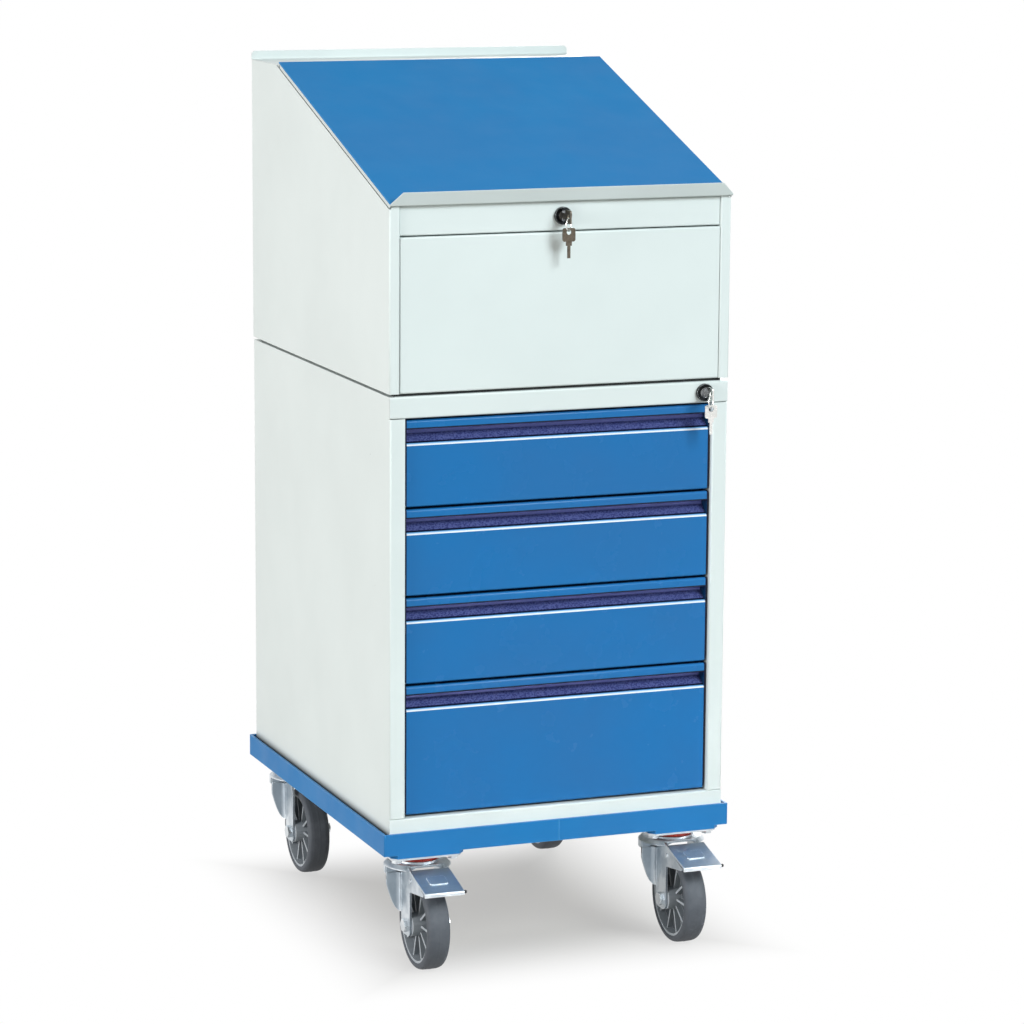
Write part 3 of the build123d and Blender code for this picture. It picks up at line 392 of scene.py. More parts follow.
@dataclass(frozen=True)
class GripCoat(PowderCoat):
    """The same coat on a drawer front, with painted shade in its finger recess and at its edges, painted
    shadow lines at its folds, and a painted highlight on its lip.

    The eye sees a violet-grey, specked painted shade down in the recess, its upright back wall painted paler,
    dark painted shadow lines above and below it, a painted highlight on the lip, pale blue to white, and dark
    painted shade on the ends and edges beside the gaps. Heights are measured as the drop below the front's
    top, in millimetres, and the bands lie about the folds.
    """

    face_y: float = 0.0
    top_z: float = 0.0
    half_x: float = 0.0
    # Width of the painted gap shade at the front's left and right ends, in millimetres
    gap_shade_mm: float = 2.0
    lip_drop: float = 33.0
    wall_drop: float = 20.0
    strip_drop: float = 12.5
    # Bands of the painted shadow lines at the lip's fold and under the top strip
    crease_band: tuple[float, float] = (-3.4, -1.9)
    strip_band: tuple[float, float] = (-1.6, 0.2)
    # Band of the lip's painted highlight, and where it turns white
    lip_band: tuple[float, float] = (-1.4, 1.5)
    lip_bright: float = 0.7
    wall_band: tuple[float, float] = (1.0, -0.5)
    wall_share: float = 0.8
    recess_band: tuple[float, float] = (2.4, 3.2)
    # Colours of the painted shade in the recess, of its specks, and of its back wall, painted paler
    recess: str = "#59629a"
    speck: str = "#383f74"
    wall: str = "#939ff8"
    # Colour of the painted shadow lines and of the painted shade at the front's ends
    crease: str = "#12152c"
    # Colours of the lip's painted highlight, pale blue on top and white on the bend
    lip_top: str = "#5aa6e2"
    lip: str = "#f4f8fc"
    # Colour of the painted shade on the side and end faces beside the gaps
    gap: str = "#123a60"

    def recess_tone(self, tree: Tree, place: Socket, drop: Socket) -> Socket:
        """The recess's painted shade, violet-grey and specked, painted paler on its upright back wall to make
        up for the light that wall doesn't get.

        Args:
            tree: The node tree.
            place: Coordinates in metres.
            drop: Drop below the front's top in metres.

        Returns:
            The colour's output.
        """
        # Painted shade in the recess: a violet-grey, specked by noise, stands in for the shade there
        dust = add_node(tree, Kind.NOISE, cells(place, Scale.RECESS_SPECK, 2.0))
        specked = add_node(tree, Kind.RANGE, Span.RECESS_SPECK.of(dust))
        recess_shade = add_node(tree, Kind.MIX, {SHARE: specked, UNDER: linear(self.recess), OVER: linear(self.speck)})
        # Painted light: the upright back wall is painted paler, to make up for the light it doesn't get
        low, high = ((self.wall_drop + at) * MM for at in self.wall_band)
        upright = add_node(tree, Kind.RANGE, {VALUE: drop, FROM: low, TO: high, HIGH: self.wall_share})
        return add_node(tree, Kind.MIX, {SHARE: upright, UNDER: recess_shade, OVER: linear(self.wall)})

    def lip_tone(self, tree: Tree, drop: Socket) -> Socket:
        """The lip's painted highlight, from pale blue on its top to white on its front bend.

        Args:
            tree: The node tree.
            drop: Drop below the front's top in metres.

        Returns:
            The colour's output.
        """
        low, high = ((self.lip_drop + at) * MM for at in (self.lip_band[0], self.lip_bright))
        bright = add_node(tree, Kind.RANGE, {VALUE: drop, FROM: low, TO: high})
        return add_node(tree, Kind.MIX, {SHARE: bright, UNDER: linear(self.lip_top), OVER: linear(self.lip)})

    def tone(self, tree: Tree, place: Socket) -> Socket:
        """The coat's colour, then the recess's painted shade by its depth, the painted shadow lines and the
        lip's painted highlight by their height, and painted shade on the edges.

        Args:
            tree: The node tree.
            place: Coordinates in metres.

        Returns:
            The colour's output.
        """
        axes = add_node(tree, Kind.AXES, {0: place}).node.outputs
        drop = add_node(tree, Kind.MATH, {0: self.top_z, 1: axes["Z"]}, operation="SUBTRACT")
        front, full = (self.face_y + at * MM for at in self.recess_band)
        behind = add_node(tree, Kind.RANGE, {VALUE: axes["Y"], FROM: front, TO: full})
        # Painted shade behind the front's face, down in the recess
        recess_shade = self.recess_tone(tree, place, drop)
        film = add_node(tree, Kind.MIX, {SHARE: behind, UNDER: super().tone(tree, place), OVER: recess_shade})
        # Painted shadow lines: dark bands at the fold behind the lip and under the top strip, where shade
        # falls
        fold = band(tree, drop, *(self.lip_drop + at for at in self.crease_band))
        under = band(tree, drop, *(self.strip_drop + at for at in self.strip_band))
        dark = add_node(tree, Kind.MATH, {0: fold, 1: under}, operation="MAXIMUM")
        film = add_node(tree, Kind.MIX, {SHARE: dark, UNDER: film, OVER: linear(self.crease)})
        # Painted highlight on the lip's bend, pale blue to white
        rubbing_and_highlight = band(tree, drop, *(self.lip_drop + at for at in self.lip_band))
        film = add_node(tree, Kind.MIX, {SHARE: rubbing_and_highlight, UNDER: film, OVER: self.lip_tone(tree, drop)})
        # Painted shade: a dark border at the front's left and right ends, where the gaps to the stiles lie in
        # shade
        off = add_node(tree, Kind.MATH, {0: axes["X"]}, operation="ABSOLUTE")
        inner = self.half_x - self.gap_shade_mm * MM
        gap_shade = add_node(tree, Kind.RANGE, {VALUE: off, FROM: inner, TO: inner + SOFT_MM * MM})
        film = add_node(tree, Kind.MIX, {SHARE: gap_shade, UNDER: film, OVER: linear(self.crease)})
        # Painted shade on the faces that face the gaps, at the sides and ends
        sides = add_node(tree, Kind.RANGE, Span.SIDES.of(facing(tree, Axis.X)))
        ends = add_node(tree, Kind.RANGE, Span.ENDS.of(facing(tree, Axis.Z)))
        edge = add_node(tree, Kind.MATH, {0: sides, 1: ends}, operation="MAXIMUM")
        return add_node(tree, Kind.MIX, {SHARE: edge, UNDER: film, OVER: linear(self.gap)})


@dataclass(frozen=True)
class ZincPlate(Finish):
    """Bright zinc plate on pressed steel: a bluish metal with cloudy passivation and fine spangle.

    The eye sees a patchy grey sheen, brighter at edges that are partly abraded and partly a painted
    highlight, and darker on the faces across one axis, a painted darker reflection.
    """

    colour: str = "#dce2e6"
    cloud: str = "#b8c1c8"
    edge: str = "#f8fafb"
    dull: str = "#929ea8"
    dull_axis: Axis = Axis.Y
    roughness: float = 0.38
    dull_share: float = 0.85
    edge_reach_mm: float = 1.4
    wear_and_highlight: float = 0.95
    ripple_mm: float = 0.3
    relief: float = 0.3
    stray: tuple[float, float] = (-0.06, 0.1)

    def shader(self, tree: Tree, place: Socket) -> Socket:
        """Clouds, the painted darker reflection on the dull faces and the partly painted bright edges in the
        colour, spangle in the gloss and a pressed ripple.

        Args:
            tree: The node tree.
            place: Coordinates in metres.

        Returns:
            The shader's output.
        """
        patch = add_node(tree, Kind.NOISE, cells(place, Scale.PASSIVE, 4.0))
        cloudy = add_node(tree, Kind.RANGE, Span.PATCH.of(patch))
        tone = add_node(tree, Kind.MIX, {SHARE: cloudy, UNDER: linear(self.colour), OVER: linear(self.cloud)})
        # Painted reflection: faces across the dull axis are darker, as if they mirrored dim surroundings
        dull_faces = add_node(tree, Kind.RANGE, Span.DULLED.of(facing(tree, self.dull_axis), high=self.dull_share))
        tone = add_node(tree, Kind.MIX, {SHARE: dull_faces, UNDER: tone, OVER: linear(self.dull)})
        # Bright edges: partly abrasion, partly a painted highlight
        rub_and_highlight = edge_rub_and_highlight(tree, place, self.edge_reach_mm, self.wear_and_highlight)
        tone = add_node(tree, Kind.MIX, {SHARE: rub_and_highlight, UNDER: tone, OVER: linear(self.edge)})
        spangle = add_node(tree, Kind.CELLS, cells(place, Scale.SPANGLE), "Color")
        flake = add_node(tree, Kind.CHANNELS, {0: spangle})
        low, high = (self.roughness + stray for stray in self.stray)
        gloss = add_node(tree, Kind.RANGE, {VALUE: flake, LOW: low, HIGH: high})
        ripple = add_node(tree, Kind.NOISE, cells(place, Scale.RIPPLE, 2.0))
        skin = {"Height": ripple, "Strength": self.relief, "Distance": self.ripple_mm * MM}
        bump = add_node(tree, Kind.BUMP, skin)
        inputs = {"Base Color": tone, "Metallic": 1.0, "Roughness": gloss, "Normal": bump}
        return add_node(tree, Kind.PRINCIPLED, inputs)


@dataclass(frozen=True)
class PolishedMetal(Finish):
    """Buffed chrome or nickel plate: the eye sees a mirror with hairlines, a haze and bright edges, partly
    abraded and partly a painted highlight.
    """

    colour: str = "#c9ccd0"
    haze: str = "#a7abb0"
    edge: str = "#f4f5f6"
    roughness: float = 0.12
    edge_reach_mm: float = 0.5
    wear_and_highlight: float = 0.9
    hairline_mm: float = 0.05
    relief: float = 0.12
    stray: tuple[float, float] = (0.7, 1.6)
    # Hairlines are about 1 mm apart and 8 mm long, along the upright axis, as waves in a metre.
    hairlines: tuple[float, float, float] = (900.0, 900.0, 120.0)

    def shader(self, tree: Tree, place: Socket) -> Socket:
        """Haze in the colour and roughness, bright edges (partly a painted highlight) and fine hairlines from
        rubbing in the bump.

        Args:
            tree: The node tree.
            place: Coordinates in metres.

        Returns:
            The shader's output.
        """
        haze = add_node(tree, Kind.NOISE, cells(place, Scale.HAZE, 5.0))
        hazy = add_node(tree, Kind.RANGE, Span.HAZE.of(haze))
        tone = add_node(tree, Kind.MIX, {SHARE: hazy, UNDER: linear(self.colour), OVER: linear(self.haze)})
        # Bright edges: partly abrasion, partly a painted highlight
        rub_and_highlight = edge_rub_and_highlight(tree, place, self.edge_reach_mm, self.wear_and_highlight)
        tone = add_node(tree, Kind.MIX, {SHARE: rub_and_highlight, UNDER: tone, OVER: linear(self.edge)})
        low, high = (self.roughness * stray for stray in self.stray)
        gloss = add_node(tree, Kind.RANGE, Span.SMUDGE.of(haze, low, high))
        rubbing_and_highlight = add_node(tree, Kind.MAPPING, {"Vector": place, "Scale": self.hairlines})
        lines = add_node(tree, Kind.NOISE, {"Vector": rubbing_and_highlight, "Scale": 1.0, "Detail": 2.0})
        skin = {"Height": lines, "Strength": self.relief, "Distance": self.hairline_mm * MM}
        bump = add_node(tree, Kind.BUMP, skin)
        inputs = {"Base Color": tone, "Metallic": 1.0, "Roughness": gloss, "Normal": bump}
        return add_node(tree, Kind.PRINCIPLED, inputs)


@dataclass(frozen=True)
class MouldedPolymer(Finish):
    """Rubber or plastic from a mould: the eye sees a matt, finely eroded skin, scuffed where it rubs."""

    colour: str = "#5b5f66"
    scuff: str = "#74787e"
    roughness: float = 0.6
    grit_mm: float = 2.0
    depth_mm: float = 0.2
    scuffed: float = 0.8
    relief: float = 0.4
    stray: tuple[float, float] = (-0.08, 0.1)

    def tone(self, tree: Tree, place: Socket) -> Socket:
        """The polymer's colour with its scuffs.

        Args:
            tree: The node tree.
            place: Coordinates in metres.

        Returns:
            The colour's output.
        """
        wear_and_highlight = add_node(tree, Kind.NOISE, cells(place, Scale.SCUFF, 6.0))
        rub = add_node(tree, Kind.RANGE, Span.SCUFF.of(wear_and_highlight, high=self.scuffed))
        return add_node(tree, Kind.MIX, {SHARE: rub, UNDER: linear(self.colour), OVER: linear(self.scuff)})

    def shader(self, tree: Tree, place: Socket) -> Socket:
        """The scuffed colour, an uneven dull gloss and the mould's fine grit in the bump.

        Args:
            tree: The node tree.
            place: Coordinates in metres.

        Returns:
            The shader's output.
        """
        dull = add_node(tree, Kind.NOISE, cells(place, Scale.SCUFF, 6.0))
        low, high = (self.roughness + stray for stray in self.stray)
        grit = add_node(tree, Kind.NOISE, cells(place, self.grit_mm, 3.0))
        skin = {"Height": grit, "Strength": self.relief, "Distance": self.depth_mm * MM}
        inputs = {
            "Base Color": self.tone(tree, place),
            "Roughness": add_node(tree, Kind.RANGE, Span.SMUDGE.of(dull, low, high)),
            "Normal": add_node(tree, Kind.BUMP, skin),
            "IOR": FILM_IOR,
        }
        return add_node(tree, Kind.PRINCIPLED, inputs)


@dataclass(frozen=True)
class RibbedHub(MouldedPolymer):
    """Glass-filled nylon of a ribbed hub: the eye sees pale tops on ring, ribs and boss, and painted shade on
    their sides and in the hollows.
    """

    wall: str = "#8b9298"
    web: str = "#555b61"
    edge: str = "#e3e7ea"
    middle_x: float = 0.0
    hollow_mm: float = 7.0
    top_mm: float = 9.5
    edge_reach_mm: float = 1.3
    wear_and_highlight: float = 0.9

    def tone(self, tree: Tree, place: Socket) -> Socket:
        """The nylon's colour on what stands high and faces out along the axle, painted shade below, and pale
        edges, partly abrasion and partly a painted highlight.

        Args:
            tree: The node tree.
            place: Coordinates in metres.

        Returns:
            The colour's output.
        """
        across = add_node(tree, Kind.AXES, {0: place}, "X")
        along = add_node(tree, Kind.MATH, {0: across}, operation="ABSOLUTE")
        off = add_node(tree, Kind.MATH, {0: along, 1: self.middle_x}, operation="SUBTRACT")
        height = add_node(tree, Kind.MATH, {0: off}, operation="ABSOLUTE")
        high = add_node(tree, Kind.RANGE, {VALUE: height, FROM: self.hollow_mm * MM, TO: self.top_mm * MM})
        outward = add_node(tree, Kind.RANGE, Span.TOPS.of(facing(tree, Axis.X)))
        tops = add_node(tree, Kind.MATH, {0: high, 1: outward}, operation="MULTIPLY")
        # Painted shade: rib sides and the web between the ribs are darker, where shade falls
        low = add_node(tree, Kind.MIX, {SHARE: outward, UNDER: linear(self.wall), OVER: linear(self.web)})
        nylon = add_node(tree, Kind.MIX, {SHARE: tops, UNDER: low, OVER: super().tone(tree, place)})
        # Pale edges: partly abrasion, partly a painted highlight
        rub_and_highlight = edge_rub_and_highlight(tree, place, self.edge_reach_mm, self.wear_and_highlight)
        return add_node(tree, Kind.MIX, {SHARE: rub_and_highlight, UNDER: nylon, OVER: linear(self.edge)})


BASE_TOP_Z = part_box("base_frame")[1].z
WHEEL_X = 0.5 * sum(corner.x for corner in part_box("wheel_hub_front_right"))
PALE_GREY: dict[str, Any] = {
    "colour": "#e6eeec",
    "thin": "#e2eae8",
    "nib": "#848b87",
    "roughness": 0.38,
    "nibs": 0.3,
    "specular": 0.3,
    "wear_and_highlight": 0.35,
}
# Light grey on the desk and the drawer boxes: pale, faintly green, hardly glossy
GREY_COAT = PowderCoat("light_grey_powder_coat", **PALE_GREY)
# The same on the cabinet, with painted shade above the base
CARCASS_COAT = FootedCoat("carcass_grey_powder_coat", **PALE_GREY, rim_z=BASE_TOP_Z)
# A shade deeper on the lid's tray and the top shelf: painted shade, a darker copy of the light grey
TRAY_COAT = PowderCoat(
    "tray_grey_powder_coat", "#dae2e0", "#d3dbd9", "#848b87",
    roughness=0.4, nibs=0.2, specular=0.3, wear_and_highlight=0.5,
)
# Strong blue on the drawers, smooth enough for a soft sheen
DRAWER_COATS = [
    GripCoat(
        f"drawer_{number}_blue_powder_coat", "#1f74b5", "#2871af", "#1a5a94", "#5c9fd2",
        roughness=0.24, nibs=0.1, specular=0.18, wear_and_highlight=0.4,
        face_y=low.y, top_z=high.z, half_x=high.x,
    )
    for number in range(1, 5)
    for low, high in [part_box(f"drawer_{number}_front")]
]
# Matt blue on the writing surface, dulled by use
LID_COAT = PowderCoat(
    "lid_blue_powder_coat", "#2782bf", "#307fbb", "#246aa2", "#7fb4dc",
    roughness=0.55, nibs=0.08, specular=0.06,
)
# Blue on the base's angle from the rolling mill, with pale edges: partly knocked, partly a painted highlight
BASE_COAT = PowderCoat(
    "base_blue_powder_coat", "#1b7bbc", "#2778b7", "#1b5c96", "#8cc0e8",
    roughness=0.45, nibs=0.15, specular=0.2,
)
# The same blue, lighter, over a ground weld: a painted highlight along its ridge
WELD_COAT = PowderCoat(
    "weld_blue_powder_coat", "#2f87c4", "#2a80bd", "#1b5c96", "#a8d2f0",
    roughness=0.4, nibs=0.1, specular=0.3,
)
# Matt black in the joint between desk and cabinet, a dark line
BLACK_COAT = PowderCoat(
    "matt_black_powder_coat", "#141516", "#1b1c1d", "#2c2d2e", "#3a3c3e", roughness=0.6, nibs=0.1
)
# Zinc on the forks and runners: cloudy, cool grey, with a painted darker reflection on the faces to front and
# back
ZINC = ZincPlate("bright_zinc_plate")
# Zinc on the pedals, with a painted darker reflection on their top faces
PEDAL_ZINC = ZincPlate("pedal_zinc_plate", "#dfe4e8", "#c2cad0", "#ffffff", "#9ca7b0", Axis.Z, 0.42)
# White passivated zinc on plates and bolts, paler than the forks
PALE_ZINC = ZincPlate("white_passivated_zinc", "#e2e6e8", "#ccd2d6", "#ffffff", "#c6cdd2", Axis.Y, 0.34)
# Grey glass-filled nylon hubs: pale rings and ribs over painted shade in the hollows
CAST_HUB = RibbedHub("grey_moulded_nylon", "#b3bac0", "#c6ccd1", 0.45, 3.0, 0.1, middle_x=WHEEL_X)
# Grey solid rubber tyres: dark and matt
TYRE = MouldedPolymer("grey_solid_rubber", "#4f545b", "#60646b", 0.62, Scale.RUBBER.value, 0.2)
# Red rubber dust seals: the only warm colour on the trolley
SEAL = MouldedPolymer("red_seal_rubber", "#c23a2c", "#a8322a", 0.5, 1.5, 0.08)
# Lock collars: chrome with a painted dark reflection and painted highlights on the rims
DARK_CHROME = PolishedMetal("chrome_with_painted_dark_reflection", "#303336", "#1c1f21", "#e4e6e8", 0.14, 1.1)
# Chrome lock plugs: greyer, a painted darker reflection, with white painted highlights on the rims
CHROME = PolishedMetal("chrome_plate", "#8d9094", "#5f6367", "#ffffff", 0.1, 0.9)
# Much handled nickel of the desk's keys: brownish
KEY_NICKEL = PolishedMetal("handled_nickel_plate", "#6e665b", "#574f45", "#b9b3a9", 0.3)
# New nickel of the cabinet's keys and of the rings: nearly white
KEY_BRIGHT = PolishedMetal("new_nickel_plate", "#f0efec", "#dcdcd8", "#ffffff", 0.2)
# Black plastic pegs on the pedals: small, dull and dark
PEG_BLACK = MouldedPolymer("black_moulded_plastic", "#17181a", "#242528", 0.5, 1.5, 0.05)


def surface(name: str, grid: np.ndarray, around: bool, along: bool) -> bpy.types.Object:
    """Makes a mesh object of quads from a grid of points.

    Args:
        name: Name of the piece.
        grid: Points as an array of shape (rows, columns, 3), in metres.
        around: Whether the last column joins the first.
        along: Whether the last row joins the first.

    Returns:
        The new object, at the origin, in the scene.
    """
    rows, columns = grid.shape[:2]
    index = np.arange(rows * columns).reshape(rows, columns)
    index = np.concatenate([index, index[:1]]) if along else index
    index = np.concatenate([index, index[:, :1]], axis=1) if around else index
    corners = [index[:-1, :-1], index[:-1, 1:], index[1:, 1:], index[1:, :-1]]
    mesh = bpy.data.meshes.new(name)
    mesh.from_pydata(grid.reshape(-1, 3), [], np.stack(corners, axis=-1).reshape(-1, 4))
    mesh.polygons.foreach_set("use_smooth", np.ones(len(mesh.polygons), dtype=bool))
    mesh.update()
    piece = bpy.data.objects.new(name, mesh)
    bpy.context.scene.collection.objects.link(piece)
    return piece


def paint(piece: bpy.types.Object, finish: Finish) -> None:
    """Gives a piece or a CAD node its finish.

    Args:
        piece: The object to finish.
        finish: The finish it gets.
    """
    if not piece.material_slots:
        piece.data.materials.append(finish.material())
    for slot in piece.material_slots:
        slot.material = finish.material()


def ease(piece: bpy.types.Object, width_mm: float, angle_deg: float = 40.0) -> None:
    """Rounds a CAD node's sharp edges by a small live bevel, so that they catch the light.

    Args:
        piece: The CAD node's object.
        width_mm: Width of the bevel.
        angle_deg: Edges that turn by more than this are rounded.
    """
    weld = piece.modifiers.new("weld", "WELD")
    weld.merge_threshold = 0.01 * MM
    bevel = piece.modifiers.new("ease", "BEVEL")
    bevel.width = width_mm * MM
    bevel.segments = 2
    bevel.limit_method = "ANGLE"
    bevel.angle_limit = math.radians(angle_deg)
    bevel.harden_normals = True


@dataclass
class Assembly:
    """A sub-assembly of the trolley: CAD nodes with their finishes, and the pieces made here."""

    title: str

    def finishes(self) -> Dressing:
        """CAD node to its finish and the width of its eased edges in millimetres."""
        return {}

    def pieces(self) -> Iterator[bpy.types.Object]:
        """The pieces that are made here rather than in CAD."""
        return iter(())

    def make(self) -> None:
        """Dresses the CAD nodes, builds the pieces and reports them."""
        for node, (finish, width_mm) in self.finishes().items():
            paint(NODES[node], finish)
            if width_mm > 0:
                ease(NODES[node], width_mm)
            LOG.info("%s: node %s in %s", self.title, node, finish.name)
        for piece in self.pieces():
            LOG.info("%s: piece %s, %d faces", self.title, piece.name, len(piece.data.polygons))


@dataclass
class BaseFrame(Assembly):
    """The welded angle-iron base with its dressed butt weld; lengths are in millimetres."""

    title: str = "base"
    bead_w: float = 4.0
    bead_h: float = 0.5
    bead_sunk: float = 0.05
    bead_from: float = 5.6
    bead_short: float = 0.4
    wave_h: float = 0.25
    wave_len: float = 3.0
    bead_rows: int = 40
    bead_columns: int = 15

    def finishes(self) -> Dressing:
        """Blue coat on the angle ring, with its edges rounded as on angle iron from the rolling mill."""
        return {"base_frame": (BASE_COAT, 0.6)}

    def weld(self) -> bpy.types.Object:
        """A ground-down weld: a low cosine ridge, waved along its length, carried up the front wall.

        Returns:
            The weld's object.
        """
        low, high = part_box("base_frame")
        ends = (low.z + self.bead_from * MM, high.z - self.bead_short * MM)
        rise = np.linspace(*ends, self.bead_rows)[:, None]
        across = np.linspace(-1.0, 1.0, self.bead_columns)[None, :]
        wave = 1.0 + self.wave_h * np.sin(rise * 2.0 * math.pi / (self.wave_len * MM))
        x = across * self.bead_w * MM * 0.5 * np.ones_like(rise)
        ridge = self.bead_h * MM * (0.5 + 0.5 * np.cos(math.pi * across)) * wave
        y = low.y - (ridge - self.bead_sunk * MM)
        piece = surface("base_weld_front", np.stack([x, y, rise + 0.0 * across], axis=-1), False, False)
        paint(piece, WELD_COAT)
        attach(piece, "frame")
        return piece

    def pieces(self) -> Iterator[bpy.types.Object]:
        """One weld in the middle of the front wall."""
        yield self.weld()


@dataclass
class Castors(Assembly):
    """Four castors: zinc forks and heads, red seals, ribbed hubs, rubber tyres and two brake pedals.

    Lengths are in millimetres, the peg's height from the floor and the flange's heights from the axle.
    """

    title: str = "castors"
    places: tuple[str, ...] = ("front_left", "front_right", "back_left", "back_right")
    braked: tuple[str, ...] = ("front_left", "front_right")
    rim_r: float = 53.5
    shoulder: float = 6.0
    crown: float = 0.5
    seam: float = 0.25
    seam_w: float = 0.8
    corner_steps: int = 9
    tread_steps: int = 21
    tyre_steps: int = 96
    peg_r: float = 2.3
    peg_len: float = 4.4
    peg_sunk: float = 0.4
    peg_back: float = 2.4
    peg_z: float = 124.5
    peg_shape: float = 0.6
    peg_rows: int = 13
    peg_steps: int = 20
    leg_x: float = 25.5
    crease: float = 29.0
    bend: float = 6.0
    sheet: float = 3.0
    proud: float = 0.2
    flange_w: float = 19.0
    flange_in: float = 3.0
    sweep: float = 0.55
    gather: float = 1.6
    flange_rows: int = 32
    flange_steps: int = 10
    tail_low: float = 12.5
    tail_full: float = 52.5
    tail_top: float = 68.0

    def finishes(self) -> Dressing:
        """Zinc on the pressed steel, grey on the hubs and red on the seals.

        Returns:
            CAD node to its finish and the width of its eased edges.
        """
        found: Dressing = {
            "castor_top_plates": (PALE_ZINC, 0.5),
            "castor_king_pins": (ZINC, 0.0),
            "castor_seals": (SEAL, 0.0),
            "castor_bolts": (PALE_ZINC, 0.6),
        }
        for place in self.places:
            found[f"castor_fork_{place}"] = (ZINC, 0.5)
            found[f"castor_axle_{place}"] = (PALE_ZINC, 0.5)
            found[f"wheel_hub_{place}"] = (CAST_HUB, 0.5)
            found[f"tyre_{place}"] = (TYRE, 0.0)
        for place in self.braked:
            found[f"brake_pedal_{place}"] = (PEDAL_ZINC, 0.5)
        return found

    def tyre(self, place: str) -> bpy.types.Object:
        """A solid tyre: a closed section carried round the axle.

        The section runs round a rectangle whose outer corners are quarter circles and whose tread is a
        low crown with a fine mould seam in the middle; each point is then turned about the axle.

        Args:
            place: Which castor.

        Returns:
            The tyre's object.
        """
        low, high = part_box(f"tyre_{place}")
        middle = 0.5 * (np.array(low) + np.array(high))
        half = 0.5 * (high.x - low.x)
        outer = 0.5 * (high.z - low.z)
        corner = self.shoulder * MM
        inner = self.rim_r * MM
        bend = np.linspace(0.0, 0.5 * math.pi, self.corner_steps)
        flat = np.linspace(-1.0, 1.0, self.tread_steps)[1:-1] * (half - corner)
        seam = self.seam * MM * np.exp(-((flat / (self.seam_w * MM)) ** 2))
        crown = self.crown * MM * (1.0 - (flat / half) ** 2)
        base = outer - self.crown * MM - self.seam * MM
        left_x = -(half - corner) - corner * np.cos(bend)
        left_r = base - corner + corner * np.sin(bend)
        wall = inner + np.array([0.0, 0.25, 0.5, 0.75]) * (base - corner - inner)
        side = np.full(4, half)
        x = np.concatenate([-side, left_x, flat, -left_x[::-1], side])
        r = np.concatenate([wall, left_r, base + crown + seam, left_r[::-1], wall[::-1]])
        turn = np.linspace(0.0, 2.0 * math.pi, self.tyre_steps, endpoint=False)[:, None]
        y = middle[1] + r[None, :] * np.cos(turn)
        z = middle[2] + r[None, :] * np.sin(turn)
        grid = np.stack([middle[0] + x[None, :] + 0.0 * turn, y, z], axis=-1)
        piece = surface(f"tyre_tread_{place}", grid[:, ::-1], True, True)
        paint(piece, TYRE)
        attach(piece, f"wheel_{place}")
        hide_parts(f"tyre_{place}")
        return piece

    def peg(self, place: str) -> bpy.types.Object:
        """A black end peg on the pedal's outer corner: a half ellipse turned about the X axis.

        Args:
            place: Which castor.

        Returns:
            The peg's object.
        """
        low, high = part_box(f"brake_pedal_{place}")
        swell = np.linspace(0.0, math.pi, self.peg_rows)[:, None]
        turn = np.linspace(0.0, 2.0 * math.pi, self.peg_steps, endpoint=False)[None, :]
        radius = self.peg_r * MM * np.sin(swell) ** self.peg_shape
        x = high.x - self.peg_sunk * MM + self.peg_len * MM * (0.5 - 0.5 * np.cos(swell)) + 0.0 * turn
        y = low.y + self.peg_back * MM + radius * np.cos(turn)
        z = self.peg_z * MM + radius * np.sin(turn)
        piece = surface(f"pedal_peg_{place}", np.stack([x, y, z], axis=-1), True, False)
        paint(piece, PEG_BLACK)
        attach(piece, f"pedal_{place}")
        return piece

    def flange(self, place: str, hand: str) -> bpy.types.Object:
        """The swept flange of a fork leg: a bent section of sheet carried up the leg as it widens.

        In plan the sheet runs back along the leg, round a quarter bend and outward. At each height it is cut
        off where its outward reach is the full reach times a power of the share of the height. Its front and
        back are the same line at two radii of the bend, and each end closes in a point.

        Args:
            place: Which castor.
            hand: Which leg, left or right.

        Returns:
            The flange's object.
        """
        side = -1.0 if hand == "left" else 1.0
        axle = 0.5 * np.array(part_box(f"castor_axle_{place}")).sum(axis=0) / MM
        wheel = 0.5 * np.array(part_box(f"wheel_hub_{place}")).sum(axis=0) / MM
        rise = np.linspace(0.0, 1.0, self.flange_rows)[:, None] ** self.gather
        height = self.tail_low + (self.tail_top - self.tail_low) * rise
        share = np.clip((height - self.tail_low) / (self.tail_full - self.tail_low), 0.0, 1.0)
        width = self.flange_w * share**self.sweep
        swing = np.arccos(np.clip(1.0 - width / self.bend, 0.0, 1.0))
        flat = np.clip(width - self.bend, 0.0, None)
        along = np.linspace(0.0, 1.0, self.flange_steps)[None, :]
        lines = []
        for radius in (self.bend - self.proud, self.bend + self.sheet + self.proud):
            x = np.concatenate([0.0 * height - radius, -radius * np.cos(swing * along)], axis=1)
            y = np.concatenate([0.0 * height - self.flange_in, radius * np.sin(swing * along)], axis=1)
            x = np.concatenate([x, x[:, -1:] + flat * along[:, 1:]], axis=1)
            y = np.concatenate([y, y[:, -1:] + 0.0 * along[:, 1:]], axis=1)
            lines.append(np.stack([x, y], axis=-1))
        loop = np.concatenate([lines[0], lines[1][:, ::-1]], axis=1)
        x = wheel[0] + side * (self.leg_x + self.bend + loop[..., 0])
        y = axle[1] + self.crease - self.bend + loop[..., 1]
        grid = np.stack([x, y, axle[2] + height + 0.0 * x], axis=-1)
        ends = [np.broadcast_to(row.mean(axis=0), row.shape)[None] for row in (grid[0], grid[-1])]
        grid = np.concatenate([ends[0], grid, ends[1]]) * MM
        piece = surface(f"fork_flange_{place}_{hand}", grid if side > 0 else grid[:, ::-1], True, False)
        paint(piece, ZINC)
        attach(piece, f"castor_{place}")
        return piece

